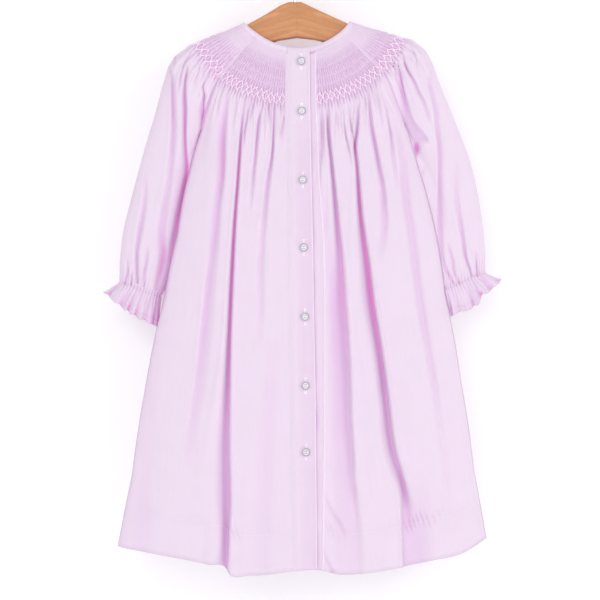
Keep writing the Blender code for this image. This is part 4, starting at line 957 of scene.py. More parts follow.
def stitch_mesh(name, starts, ends, outs, radius, material):
    """Many short rounded stitches as one object, each sunk at its ends and lifted in its middle."""
    starts, ends, outs = (np.asarray(v, dtype=float) for v in (starts, ends, outs))
    axis = unit(ends - starts)
    side = unit(np.cross(axis, outs))
    up = unit(np.cross(side, axis))
    sides = 6
    points = []
    for share, thick, lift in ((0.12, 0.7, 0.2), (0.5, 1.0, 0.75), (0.88, 0.7, 0.2)):
        middle = starts + (ends - starts) * share + up * radius * lift
        for k in range(sides):
            turn = 2.0 * math.pi * k / sides
            points.append(middle + radius * thick * (side * math.cos(turn) + up * math.sin(turn)))
    points.append(starts - up * radius * 0.6)
    points.append(ends - up * radius * 0.6)
    points = np.stack(points, axis=1)
    size = points.shape[1]
    faces = []
    for k in range(sides):
        n = (k + 1) % sides
        faces += [(k, n, sides + n, sides + k), (sides + k, sides + n, 2 * sides + n, 2 * sides + k)]
    caps = []
    for k in range(sides):
        n = (k + 1) % sides
        caps += [(3 * sides, n, k), (3 * sides + 1, 2 * sides + k, 2 * sides + n)]
    offset = np.arange(len(starts))[:, None, None] * size
    quads = (np.array(faces)[None] + offset).reshape(-1, 4).tolist()
    tris = (np.array(caps)[None] + offset).reshape(-1, 3).tolist()
    return mesh_object(name, points.reshape(-1, 3) * MM, quads + tris, material)


def sample(name, rows, columns):
    """Point and outward direction of a stored grid at row values and shares of its width."""
    values, grid, normal = GRIDS[name]
    row = np.interp(rows, values, np.arange(len(values)))
    column = np.asarray(columns, dtype=float) * (grid.shape[1] - 1)
    row, column = np.broadcast_arrays(row, column)
    i = np.clip(row.astype(int), 0, grid.shape[0] - 2)
    j = np.clip(column.astype(int), 0, grid.shape[1] - 2)
    a = (row - i)[..., None]
    b = (column - j)[..., None]
    out = []
    for data in (grid, normal):
        top = data[i, j] * (1 - b) + data[i, j + 1] * b
        low = data[i + 1, j] * (1 - b) + data[i + 1, j + 1] * b
        out.append(top * (1 - a) + low * a)
    return out[0], unit(out[1])


def running_line(name, rows, columns, length, gap, raise_by):
    """Stitches of one length and gap along a line given by rows and width shares of a grid."""
    spots, outs = sample(name, rows, columns)
    run = run_along(spots)
    begin = np.arange(0.5 * gap, run[-1] - length, length + gap)
    here = points_at(begin, run, spots)
    there = points_at(begin + length, run, spots)
    out = unit(points_at(begin + 0.5 * length, run, outs))
    return here + out * raise_by, there + out * raise_by, out


# Shader helpers


def node_group(name, inputs, outputs):
    """Empty shader group with its sockets, and its input and output nodes."""
    tree = bpy.data.node_groups.new(name, "ShaderNodeTree")
    for label, kind, default in inputs:
        socket = tree.interface.new_socket(name=label, in_out="INPUT", socket_type=kind)
        socket.default_value = default
    for label, kind in outputs:
        tree.interface.new_socket(name=label, in_out="OUTPUT", socket_type=kind)
    return tree, tree.nodes.new("NodeGroupInput"), tree.nodes.new("NodeGroupOutput")


def feed(tree, socket, value):
    """Links a socket to another one, or gives it a plain value."""
    if isinstance(value, bpy.types.NodeSocket):
        tree.links.new(value, socket)
    else:
        socket.default_value = value


def add(tree, kind, settings=(), **values):
    """Node of a kind with its settings, and its sockets by name or, as i0 or i1, by number."""
    node = tree.nodes.new(kind)
    for key, value in dict(settings).items():
        setattr(node, key, value)
    for key, value in values.items():
        numbered = key[0] == "i" and key[1:].isdigit()
        feed(tree, node.inputs[int(key[1:]) if numbered else key.replace("_", " ")], value)
    return node


def maths(tree, operation, first, second=0.0, clamp=False, third=None):
    """Result of a sum or comparison of values that change over the surface."""
    node = add(tree, "ShaderNodeMath", {"operation": operation, "use_clamp": clamp}, i0=first, i1=second)
    if third is not None:
        feed(tree, node.inputs[2], third)
    return node.outputs[0]


def blend_colours(tree, share, first, second, way="MIX"):
    """Blend of two colours by a share."""
    node = add(tree, "ShaderNodeMix", {"data_type": "RGBA", "blend_type": way},
               i0=share, i6=first, i7=second)
    return node.outputs[2]


def full(colour, share=1.0):
    """Opaque colour for a socket, darkened to a share or brightened."""
    return tuple(min(1.0, part * share) for part in colour) + (1.0,)


def finish_surface(tree, shader, colour, height, strength, distance, rough=None):
    """Gives a shader its colour, its bump and, where it changes over the surface, its roughness."""
    bump = add(tree, "ShaderNodeBump", Strength=strength, Distance=distance, Height=height)
    tree.links.new(colour, shader.inputs["Base Color"])
    if rough is not None:
        tree.links.new(rough, shader.inputs["Roughness"])
    tree.links.new(bump.outputs["Normal"], shader.inputs["Normal"])


def cotton_group():
    """Plain weave, slubs and colour of fine cotton, with shade painted where the cloth lies in a hollow and
    a painted glow there.
    """
    found = bpy.data.node_groups.get("fine_cotton")
    if found:
        return found
    tree, given, made = node_group(
        "fine_cotton",
        (("Colour", "NodeSocketColor", (0.8, 0.6, 0.8, 1.0)),
         ("Shade Colour", "NodeSocketColor", (0.8, 0.5, 0.7, 1.0)),
         ("Hollow Colour", "NodeSocketColor", (0.7, 0.3, 0.6, 1.0)),
         ("Hollow", "NodeSocketFloat", 0.0),
         ("Hollow Strength", "NodeSocketFloat", 1.0)),
        (("Colour", "NodeSocketColor"), ("PaintedGlow", "NodeSocketColor"), ("Roughness", "NodeSocketFloat"),
         ("Height", "NodeSocketFloat")))
    cloth = tree.nodes.new("ShaderNodeUVMap")
    cloth.uv_map = "cloth_map"
    threads = []
    for way in ("X", "Y"):
        wave = add(tree, "ShaderNodeTexWave", {"wave_type": "BANDS", "bands_direction": way},
                   Vector=cloth.outputs[0], Scale=900.0, Distortion=1.2, Detail=1.0, Detail_Scale=0.6)
        threads.append(wave.outputs["Fac"])
    weave = maths(tree, "MAXIMUM", threads[0], threads[1])
    stretched = add(tree, "ShaderNodeMapping", Vector=cloth.outputs[0], Scale=(2600.0, 140.0, 1.0))
    slub = add(tree, "ShaderNodeTexNoise", Vector=stretched.outputs[0], Scale=1.0, Detail=2.0)
    cloud = add(tree, "ShaderNodeTexNoise", Vector=cloth.outputs[0], Scale=38.0, Detail=3.0)
    fuzz = add(tree, "ShaderNodeTexNoise", Vector=cloth.outputs[0], Scale=2400.0, Detail=2.0)
    ribbed = add(tree, "ShaderNodeMapping", Vector=cloth.outputs[0], Scale=(620.0, 22.0, 1.0))
    streak = add(tree, "ShaderNodeTexNoise", Vector=ribbed.outputs[0], Scale=1.0, Detail=2.0)
    # Painted shade: the colour turns to the shade colour and then to the hollow colour as the painted amount
    # grows
    deep = maths(tree, "MULTIPLY", given.outputs["Hollow"], given.outputs["Hollow Strength"], True)
    shaded = maths(tree, "MULTIPLY", deep, 2.0, True)
    colour = blend_colours(tree, shaded, given.outputs["Colour"], given.outputs["Shade Colour"])
    deeper = maths(tree, "SUBTRACT", maths(tree, "MULTIPLY", deep, 2.0), 1.0, True)
    colour = blend_colours(tree, deeper, colour, given.outputs["Hollow Colour"])
    # Painted glow: the hollow colour also shines in the hollows, standing in for light bounced between the
    # folds
    painted_glow = blend_colours(tree, deep, (0.0, 0.0, 0.0, 1.0), given.outputs["Hollow Colour"])
    shade = maths(tree, "MULTIPLY_ADD", cloud.outputs["Fac"], 0.05, third=0.935)
    shade = maths(tree, "ADD", shade, maths(tree, "MULTIPLY", streak.outputs["Fac"], 0.05))
    shade = maths(tree, "ADD", shade, maths(tree, "MULTIPLY", slub.outputs["Fac"], 0.035))
    grey = add(tree, "ShaderNodeCombineColor", i0=shade, i1=shade, i2=shade)
    colour = blend_colours(tree, 1.0, colour, grey.outputs[0], "MULTIPLY")
    rough = maths(tree, "ADD", maths(tree, "MULTIPLY", fuzz.outputs["Fac"], 0.12), 0.74)
    height = maths(tree, "ADD", weave, maths(tree, "MULTIPLY", slub.outputs["Fac"], 0.8))
    height = maths(tree, "ADD", height, maths(tree, "MULTIPLY", fuzz.outputs["Fac"], 0.4))
    for label, value in (("Colour", colour), ("PaintedGlow", painted_glow), ("Roughness", rough), ("Height", height)):
        tree.links.new(value, made.inputs[label])
    return tree


def finish_material(name, settings):
    """New material with its Principled shader set from a dictionary of socket values."""
    material = bpy.data.materials.new(name)
    material.use_nodes = True
    tree = material.node_tree
    shader = tree.nodes["Principled BSDF"]
    for key, value in settings.items():
        shader.inputs[key].default_value = value
    return material, tree, shader


def cotton(name, looks, strength=1.0, brighter=1.0):
    """Cotton material of one piece, with how strongly its painted hollow shade shows and how much lighter or
    darker than the plain cloth it is painted.
    """
    found = bpy.data.materials.get(name)
    if found:
        return found
    # Emission lets the painted glow of the hollows shine
    material, tree, shader = finish_material(name, {
        "Sheen Weight": 0.25, "Sheen Roughness": 0.5, "Specular IOR Level": 0.25, "Emission Strength": 0.16})
    # Amount of shade painted on the cloth
    depth = add(tree, "ShaderNodeAttribute", {"attribute_name": "hollow"})
    group = add(tree, "ShaderNodeGroup", {"node_tree": cotton_group()}, Colour=full(looks.cloth, brighter),
                Shade_Colour=full(looks.shade), Hollow_Colour=full(looks.deep), Hollow=depth.outputs["Fac"],
                Hollow_Strength=strength)
    tree.links.new(group.outputs["PaintedGlow"], shader.inputs["Emission Color"])
    finish_surface(tree, shader, group.outputs["Colour"], group.outputs["Height"], 0.35, 0.00012,
                   group.outputs["Roughness"])
    return material


def thread_material(name, tone, painted_glow):
    """Twisted cotton thread of a tone."""
    found = bpy.data.materials.get(name)
    if found:
        return found
    # Emission gives the thread a painted glow, so it stays light where it lies in shade
    material, tree, shader = finish_material(name, {
        "Roughness": 0.55, "Sheen Weight": 0.3, "Specular IOR Level": 0.4,
        "Emission Color": (1.0, 0.94, 1.0, 1.0), "Emission Strength": painted_glow})
    where = tree.nodes.new("ShaderNodeTexCoord")
    ply = add(tree, "ShaderNodeTexWave", {"wave_type": "BANDS", "bands_direction": "DIAGONAL"},
              Vector=where.outputs["Object"], Scale=900.0, Distortion=0.6)
    colour = blend_colours(tree, ply.outputs["Fac"], full(tone, 0.9), full(tone))
    finish_surface(tree, shader, colour, ply.outputs["Fac"], 0.5, 0.00006)
    return material


def sewing_thread(looks):
    """Thread halfway between the cloth and the white thread."""
    tone = tuple(0.5 * (a + b) for a, b in zip(looks.cloth, looks.thread))
    # A faint painted glow lightens it
    return thread_material("sewing_thread", tone, 0.03)


def white_thread(looks):
    """White thread of the zigzag row, the buttons and the buttonholes."""
    # A stronger painted glow keeps the white thread light in the shade of the pleats
    return thread_material("white_thread", tuple(looks.thread), 0.18)


def distance_of(tree, over, up):
    """Distance from two values at right angles."""
    both = maths(tree, "ADD", maths(tree, "MULTIPLY", over, over), maths(tree, "MULTIPLY", up, up))
    return maths(tree, "SQRT", both)


def pearl_material(name, number, middle):
    """Pearly button: clouded white with a darker rim, and four holes round its own middle painted dark as
    the shade inside them.
    """
    material, tree, shader = finish_material(name, {
        "Coat Weight": 0.3, "Coat Roughness": 0.15, "Specular IOR Level": 0.5})
    where = tree.nodes.new("ShaderNodeTexCoord")
    moved = add(tree, "ShaderNodeVectorMath", {"operation": "SUBTRACT"}, i0=where.outputs["Object"],
                i1=tuple(middle * MM))
    split = add(tree, "ShaderNodeSeparateXYZ", i0=moved.outputs[0])
    over = maths(tree, "SUBTRACT", maths(tree, "ABSOLUTE", split.outputs[0]), HOLE_REACH * MM)
    up = maths(tree, "SUBTRACT", maths(tree, "ABSOLUTE", split.outputs[2]), HOLE_REACH * MM)
    hole = maths(tree, "LESS_THAN", distance_of(tree, over, up), 0.00048)
    cloud = add(tree, "ShaderNodeTexNoise", Vector=moved.outputs[0], Scale=260.0 + 20.0 * number, Detail=3.0,
                Distortion=1.5)
    reach = distance_of(tree, split.outputs[0], split.outputs[2])
    rim = maths(tree, "COMPARE", reach, 0.0036, third=0.0006)
    pearl = blend_colours(tree, cloud.outputs["Fac"], (0.72, 0.64, 0.74, 1.0), (0.92, 0.87, 0.92, 1.0))
    pearl = blend_colours(tree, maths(tree, "MULTIPLY", rim, 0.85), pearl, (0.42, 0.36, 0.45, 1.0))
    # The holes are not cut: dark discs are painted where they lie, as the shade inside them
    colour = blend_colours(tree, hole, pearl, (0.10, 0.07, 0.09, 1.0))
    rough = maths(tree, "ADD", maths(tree, "MULTIPLY", cloud.outputs["Fac"], 0.12), 0.16)
    finish_surface(tree, shader, colour, maths(tree, "SUBTRACT", 1.0, hole), 1.0, 0.0006, rough)
    return material


def wood_material(looks):
    """Varnished wood with long grain, fine pores and the glue line in the middle of the bar."""
    material, tree, shader = finish_material("varnished_wood", {
        "Coat Weight": 0.18, "Coat Roughness": 0.3, "Specular IOR Level": 0.4})
    where = tree.nodes.new("ShaderNodeTexCoord")
    split = add(tree, "ShaderNodeSeparateXYZ", i0=where.outputs["Object"])
    sideways = maths(tree, "ABSOLUTE", split.outputs[0])
    sloped = maths(tree, "ADD", split.outputs[2], maths(tree, "MULTIPLY", sideways, 0.3))
    along = add(tree, "ShaderNodeCombineXYZ", X=maths(tree, "MULTIPLY", sideways, 0.09),
                Y=split.outputs[1], Z=sloped)
    grain = add(tree, "ShaderNodeTexNoise", Vector=along.outputs[0], Scale=260.0, Detail=5.0, Roughness=0.62,
                Distortion=0.6)
    rings = add(tree, "ShaderNodeTexWave", {"wave_type": "BANDS", "bands_direction": "Z"},
                Vector=along.outputs[0], Scale=36.0, Distortion=7.0, Detail=3.0, Detail_Scale=1.4)
    pores = add(tree, "ShaderNodeTexNoise", Vector=along.outputs[0], Scale=2100.0, Detail=2.0)
    strong = maths(tree, "MULTIPLY", maths(tree, "SUBTRACT", grain.outputs["Fac"], 0.2), 1.75, True)
    colour = blend_colours(tree, strong, full(looks.wood_dark), full(looks.wood))
    veins = maths(tree, "MULTIPLY", maths(tree, "POWER", rings.outputs["Fac"], 3.0), 0.3)
    colour = blend_colours(tree, veins, colour, full(looks.wood_dark))
    specks = maths(tree, "MULTIPLY", maths(tree, "GREATER_THAN", pores.outputs["Fac"], 0.66), 0.35)
    colour = blend_colours(tree, specks, colour, full(looks.wood_dark, 0.55))
    joint = maths(tree, "LESS_THAN", sideways, 0.00028)
    colour = blend_colours(tree, maths(tree, "MULTIPLY", joint, 0.15), colour, (0.16, 0.07, 0.03, 1.0))
    rough = maths(tree, "ADD", maths(tree, "MULTIPLY", grain.outputs["Fac"], 0.2), 0.34)
    finish_surface(tree, shader, colour, grain.outputs["Fac"], 0.25, 0.0002, rough)
    return material


def steel_material():
    """Bright bent wire, faintly drawn along its length."""
    material, tree, shader = finish_material("bright_wire", {"Metallic": 1.0, "Specular IOR Level": 0.5})
    where = tree.nodes.new("ShaderNodeTexCoord")
    drawn = add(tree, "ShaderNodeTexNoise", Vector=where.outputs["Object"], Scale=900.0, Detail=3.0)
    colour = blend_colours(tree, drawn.outputs["Fac"], (0.66, 0.66, 0.67, 1.0), (0.80, 0.80, 0.80, 1.0))
    rough = maths(tree, "ADD", maths(tree, "MULTIPLY", drawn.outputs["Fac"], 0.14), 0.13)
    finish_surface(tree, shader, colour, drawn.outputs["Fac"], 0.1, 0.0001, rough)
    return material


# Settings


class DressClothSettings(PropertyGroup):
    wall: FloatProperty(
        name="Wall", description="Thickness of the shown cloth", default=0.0007, min=0.0003, unit="LENGTH")
    pleat_height: FloatProperty(
        name="Pleat height", description="Height of the smocked pleats", default=0.0016, unit="LENGTH")
    gather_height: FloatProperty(
        name="Gather height", description="Height of the gathers under the smocking", default=0.0011,
        unit="LENGTH")
    front_pleats: IntProperty(
        name="Front pleats", description="Smocked pleats on each front", default=25, min=4)
    back_pleats: IntProperty(
        name="Back pleats", description="Smocked pleats on the back", default=52, min=8)
    sleeve_pleats: IntProperty(
        name="Sleeve pleats", description="Smocked pleats on each sleeve", default=26, min=4)
    thread_radius: FloatProperty(
        name="Thread radius", description="Half thickness of the stitches", default=0.00024, unit="LENGTH")
    stitch: FloatProperty(
        name="Stitch", description="Length of one machine stitch", default=0.0021, unit="LENGTH")


class DressLookSettings(PropertyGroup):
    cloth: FloatVectorProperty(
        name="Cloth", description="Colour of the cotton", subtype="COLOR", default=(0.87, 0.725, 0.865))
    # Shade and Hollows are painted shade, mixed into the cotton where it turns away and where it lies in
    # folds
    shade: FloatVectorProperty(
        name="Shade", description="Colour of the cotton where it starts to turn away", subtype="COLOR",
        default=(0.745, 0.555, 0.765))
    deep: FloatVectorProperty(
        name="Hollows", description="Colour that the cotton takes in hollows", subtype="COLOR",
        default=(0.74, 0.23, 0.58))
    thread: FloatVectorProperty(
        name="Thread", description="Colour of the thread", subtype="COLOR", default=(0.97, 0.92, 0.97))
    wood: FloatVectorProperty(
        name="Wood", description="Colour of the bar", subtype="COLOR", default=(0.80, 0.37, 0.165))
    wood_dark: FloatVectorProperty(
        name="Grain", description="Colour of the grain", subtype="COLOR", default=(0.50, 0.20, 0.07))


class DressStageSettings(PropertyGroup):
    lens: FloatProperty(
        name="Lens", description="Focal length of the camera in millimetres", default=150.0, min=20.0)
    distance: FloatProperty(
        name="Distance", description="Camera to the front of the dress", default=2.5, unit="LENGTH")
    key: FloatProperty(
        name="Key light", description="Power of the large light, in watts", default=15.0, min=0.0)
    fill: FloatProperty(
        name="Surrounding light", description="Strength of the pale surroundings", default=0.51, min=0.0)


# Operators


class DRESS_OT_fronts(Operator):
    """Both fronts with their smocking, gathers, folds and turned-up hem"""
    bl_idname = "dress.fronts"
    bl_label = "Fronts"

    def execute(self, context):
        cloth = context.scene.dress_cloth
        looks = context.scene.dress_look

        def left_edges(radius):
            return float(body("left", radius)), float(degrees_at(radius, band("left", radius) - SEAM))

        def right_edges(radius):
            return float(degrees_at(radius, band("under", radius) + SEAM)), float(body("right", radius))

        def behind_band(grid, radius):
            level = band_surface(radius[:, 0], band("under", radius[:, 0]), UNDER_BAND_BACK)[:, 1:2]
            return (level - grid[:, :1, 1]) * bell(grid[..., 0] - band("under", radius), 22.0)

        radii, grid, normal, painted_shade = panel_grid(
            "front_left", left_edges, front_surface, -1.0, FRONT_COLUMNS, FRONT_FOLDS, LEFT_GUIDES,
            cloth.front_pleats, 6, cloth, 1.0)
        # Shade painted along the side edges of the fronts beside the sleeves, strong on the left
        low = np.clip((radii - 126.0) / 24.0, 0.0, 1.0) * np.clip((370.0 - radii) / 30.0, 0.12, 1.0)
        painted_shade[:, :4] += low[:, None] * np.array((0.9, 0.6, 0.3, 0.1))
        make_panel("front_left", grid, normal, painted_shade, cloth, looks,
                   ((0, side_turn(radii, -1.0, -1)), (-1, INTO_FRONT)))
        radii, grid, normal, painted_shade = panel_grid(
            "front_right", right_edges, front_surface, -1.0, FRONT_COLUMNS, FRONT_FOLDS, RIGHT_GUIDES,
            cloth.front_pleats, 6, cloth, 2.0, behind_band)
        # Faint painted shade along the right front's side edge
        painted_shade[:, -4:] += low[:, None] * np.array((0.0, 0.05, 0.1, 0.2))
        make_panel("front_right", grid, normal, painted_shade, cloth, looks,
                   ((-1, side_turn(radii, -1.0, 1)), (0, INTO_FRONT)))
        return {"FINISHED"}


class DRESS_OT_back(Operator):
    """Back with its smocking, gathers, folds and turned-up hem"""
    bl_idname = "dress.back"
    bl_label = "Back"

    def execute(self, context):
        cloth = context.scene.dress_cloth
        looks = context.scene.dress_look

        def edges(radius):
            return float(body("left", radius)), float(body("right", radius))

        radii, grid, normal, painted_shade = panel_grid(
            "back", edges, back_surface, 1.0, BACK_COLUMNS, BACK_FOLDS, BACK_GUIDES,
            cloth.back_pleats, 5, cloth, 3.0)
        make_panel("back", grid, normal, painted_shade, cloth, looks,
                   ((0, side_turn(radii, 1.0, -1)), (-1, side_turn(radii, 1.0, 1))))
        return {"FINISHED"}


class DRESS_OT_sleeves(Operator):
    """Both raglan sleeves with smocked heads, elastic gathers and ruffles"""
    bl_idname = "dress.sleeves"
    bl_label = "Sleeves"

    def execute(self, context):
        cloth = context.scene.dress_cloth
        looks = context.scene.dress_look
        for side in (-1, 1):
            name = SLEEVES[side]["node"]
            rows, grid, normal, closed_from, painted_shade = sleeve_grid(side, cloth.sleeve_pleats, 8, cloth)
            inward = -normal.copy()
            middle = grid.mean(axis=1)
            seam = unit(middle - grid[:, 0])
            low = np.clip((rows - 163.0) / 13.0, 0.0, 1.0)[:, None]
            inward[:, 0] = unit((1.0 - low) * INTO_FRONT + low * seam)
            inward[:, -1] = unit((1.0 - low) * INTO_BACK + low * seam)
            inner = grid + inward * cloth.wall / MM
            thing = shell(name + "_cloth", grid, inner, cotton(name + "_cotton", looks), closed_from, painted_shade)
            settle(thing, (name,))
        return {"FINISHED"}


def seam_cord(name, spots, outs, radius, material):
    """Soft raised ridge along a seam."""
    padded = np.concatenate((np.repeat(outs[:1], 10, axis=0), outs, np.repeat(outs[-1:], 10, axis=0)))
    evened = np.full(21, 1.0 / 21.0)
    outs = unit(np.stack([np.convolve(padded[:, k], evened, "valid") for k in range(3)], axis=1))
    along = unit(np.gradient(spots, axis=0))
    across = unit(np.cross(along, outs))
    turns = np.linspace(0.0, 2.0 * np.pi, 9)[:-1]
    rings = [spots + radius * (1.3 * across * math.cos(turn) + outs * math.sin(turn)) for turn in turns]
    points = np.stack(rings, axis=1)
    faces = []
    for i in range(len(spots) - 1):
        for k in range(8):
            n = (k + 1) % 8
            faces.append((i * 8 + k, i * 8 + n, (i + 1) * 8 + n, (i + 1) * 8 + k))
    last = (len(spots) - 1) * 8
    faces += [tuple(range(8)), tuple(last + k for k in reversed(range(8)))]
    return mesh_object(name, points.reshape(-1, 3) * MM, faces, material)


class DRESS_OT_seams(Operator):
    """Felled seams between the sleeves and the body, and the seams along the bands and the binding"""
    bl_idname = "dress.seams"
    bl_label = "Seams"

    def execute(self, context):
        looks = context.scene.dress_look
        # Lit and shaded copies of the cotton, as painted light: a little lighter as a painted highlight on
        # the raised seams, a little darker as faint painted shade, much lighter as a painted highlight along
        # the bands' edges, and in the shade colour as painted shade on the seams below the smocking
        plain = cotton("seam_cotton", looks, 0.0, 1.03)
        quiet = cotton("quiet_seam_cotton", looks, 0.0, 0.98)
        bright = cotton("painted_highlight_cotton", looks, 0.0, 1.1)
        shaded = cotton("shaded_seam_cotton", looks, 0.0, 1.0)
        shaded.node_tree.nodes["Group"].inputs["Colour"].default_value = full(looks.shade)
        for label, top, bottom, raised, radius, material in (("_seam", 73.5, 125.0, 0.3, 0.55, plain),
                                                             ("_low_seam", 124.5, 178.0, 0.0, 0.8, shaded)):
            rows = np.linspace(top, bottom, 60)
            for end, panel, share in RAGLAN_ENDS:
                spots, outs = sample(panel, rows, np.full(60, share))
                outs = np.zeros_like(outs) + (INTO_FRONT if panel == "back" else INTO_BACK)
                settle(seam_cord(end + label, spots + outs * raised, outs, radius, material))
        rows = np.linspace(73.5, 594.0, 260)
        for name, panel, share, shift, back_by, material in (
                ("left_band_seam", "front_left", 1.0, 0.15, 0.45, quiet),
                ("right_band_seam", "front_right", 0.0, -0.15, 0.1, bright)):
            spots, outs = sample(panel, rows, np.full(260, share))
            outs = np.zeros_like(outs) + INTO_BACK
            settle(seam_cord(name, spots + np.array((shift, back_by, 0.0)), outs, 0.75, material))
        share = np.linspace(0.0, 1.0, 160)
        for panel in ("front_left", "front_right", "back", "sleeve_left", "sleeve_right"):
            spots, outs = sample(panel, np.full(160, YOKE_RADIUS), share)
            settle(seam_cord(panel + "_neck_seam", spots - outs * 0.05, outs, 0.5, quiet))
        return {"FINISHED"}


def painted_under_band_shade(grid, radii):
    """Shade painted on the under band beside the upper band's free edge."""
    drop = TOP_OF_BAR - grid[..., 2]
    beside = bell(grid[..., 0] - band("free", radii)[:, None] - 0.8, 4.5)
    return beside * (0.18 + 0.08 * np.sin(drop / 9.0) * np.sin(drop / 31.0) + 0.3 * bell(drop - 420.0, 16.0))


def make_binding(looks):
    """Folded strip round the neck, its ends crossed at the front."""
    rings = binding_rings(420)
    share = np.linspace(0.0, 1.0, 11)[:, None, None]
    grid = rings[0][None] * (1.0 - share) + rings[1][None] * share
    normal = normals_of(grid, np.array((0.0, 0.0, TOP_OF_BAR)))
    flat = unit(normal.mean(axis=0))[None] + np.zeros_like(grid)
    edge = np.minimum(share, 1.0 - share)
    puff = 0.75 * np.clip(edge / 0.16, 0.0, 1.0) ** 0.5 - 0.30 * bell(edge - 0.2, 0.1)
    ripple = 0.07 * np.sin(np.arange(grid.shape[1]) * 0.62)[None, :, None] * np.clip(edge * 4.0, 0.0, 1.0)
    outer = grid + flat * (puff - 0.25 + ripple)
    GRIDS["neck_binding"] = (np.linspace(0.0, 1.0, 11), outer, flat)
    inner = grid - flat * (BINDING_WALL - 0.35)
    # Shade painted along the two grooves near the binding's edges
    thing = shell("neck_binding_cloth", outer, inner, cotton("neck_binding_cotton", looks, 0.7, 1.03),
                  hollow=np.broadcast_to(0.35 * bell(edge[..., 0] - 0.2, 0.1), outer.shape[:2]))
    settle(thing, ("neck_binding",))


class DRESS_OT_bands(Operator):
    """Upper and lower button band, and the binding round the neck"""
    bl_idname = "dress.bands"
    bl_label = "Bands and binding"

    def execute(self, context):
        looks = context.scene.dress_look
        for name, left, lap, right, back_by, wall, lift in BAND_PIECES:
            radii, grid = band_grid(left, lap, right, back_by, lift)
            GRIDS[name] = (radii, grid, np.zeros_like(grid) + INTO_BACK)
            inner = grid + INTO_FRONT * wall
            if name == "placket_under":
                painted_shade = painted_under_band_shade(grid, radii)
            else:
                # Shade painted on the right part of the upper band, where the under layer shades it
                part = np.clip((np.linspace(0.0, 1.0, grid.shape[1]) - 0.25) / 0.3, 0.0, 1.0)
                painted_shade = 0.16 * part * np.clip((radii[:, None] - 120.0) / 60.0, 0.0, 1.0)
            thing = shell(name + "_cloth", grid, inner, cotton(name + "_cotton", looks), hollow=painted_shade)
            settle(thing, (name,))
        # A lighter cord down the upper band's free edge, as a painted highlight
        rows = np.linspace(NECK_RADIUS + 0.6, 594.0, 360)
        spots, outs = sample("placket_over", rows, np.full(360, 0.985))
        bright = cotton("painted_highlight_cotton", looks, 0.0, 1.1)
        settle(seam_cord("free_edge_highlight", spots + outs * 0.05, outs, 0.5, bright))
        make_binding(looks)
        return {"FINISHED"}


def cable_stitches(name, pleats, radius, thread):
    """Cable rows over the pleats of one panel."""
    starts, ends, outs = [], [], []
    k = np.arange(1, pleats)
    for row, cable in enumerate(CABLE_RADII):
        swing = np.where((k + row) % 2, 0.5, -0.5)
        a, out_a = sample(name, cable + swing, (k - 0.42) / pleats)
        b, out_b = sample(name, cable + swing, (k + 0.42) / pleats)
        out = unit(out_a + out_b)
        starts.append(a + out * 0.15)
        ends.append(b + out * 0.15)
        outs.append(out)
    joined = [np.concatenate(part) for part in (starts, ends, outs)]
    return stitch_mesh(name + "_cables", *joined, radius, thread)


def zigzag_stitches(name, pleats, radius, thread):
    """Zigzag row over the pleats of one panel: slanting threads and short level ones at their ends."""
    starts, ends, outs = [], [], []
    k = np.arange(0, pleats - 1)
    up = np.where(k % 2, -1.0, 1.0)
    for middle, turn in WAVE_ROWS:
        swing = turn * WAVE_SWING * up
        a, out_a = sample(name, middle + swing, (k + 0.5) / pleats)
        b, out_b = sample(name, middle - swing, (k + 1.5) / pleats)
        level, out_c = sample(name, middle + swing, (k + 0.1) / pleats)
        ahead, out_d = sample(name, middle + swing, (k + 0.9) / pleats)
        for first, last, out in ((a, b, unit(out_a + out_b)), (level, ahead, unit(out_c + out_d))):
            loose = (uneven(k, middle)[:, None] - 0.5) * 1.1 * unit(np.cross(out, last - first))
            starts.append(first + out * 1.0 + loose)
            ends.append(last + out * 1.0 - loose)
            outs.append(out)
    joined = [np.concatenate(part) for part in (starts, ends, outs)]
    return stitch_mesh(name + "_zigzag", *joined, radius, thread)


class DRESS_OT_smocking(Operator):
    """Cable rows and the zigzag row of thread over the smocked pleats"""
    bl_idname = "dress.smocking"
    bl_label = "Smocking thread"

    def execute(self, context):
        cloth = context.scene.dress_cloth
        looks = context.scene.dress_look
        quiet = sewing_thread(looks)
        white = white_thread(looks)
        radius = cloth.thread_radius / MM
        for name, pleats in (("front_left", cloth.front_pleats), ("front_right", cloth.front_pleats),
                             ("back", cloth.back_pleats), ("sleeve_left", cloth.sleeve_pleats),
                             ("sleeve_right", cloth.sleeve_pleats)):
            settle(cable_stitches(name, pleats, radius * 1.2, quiet))
            settle(zigzag_stitches(name, pleats, radius * 1.5, white))
        return {"FINISHED"}


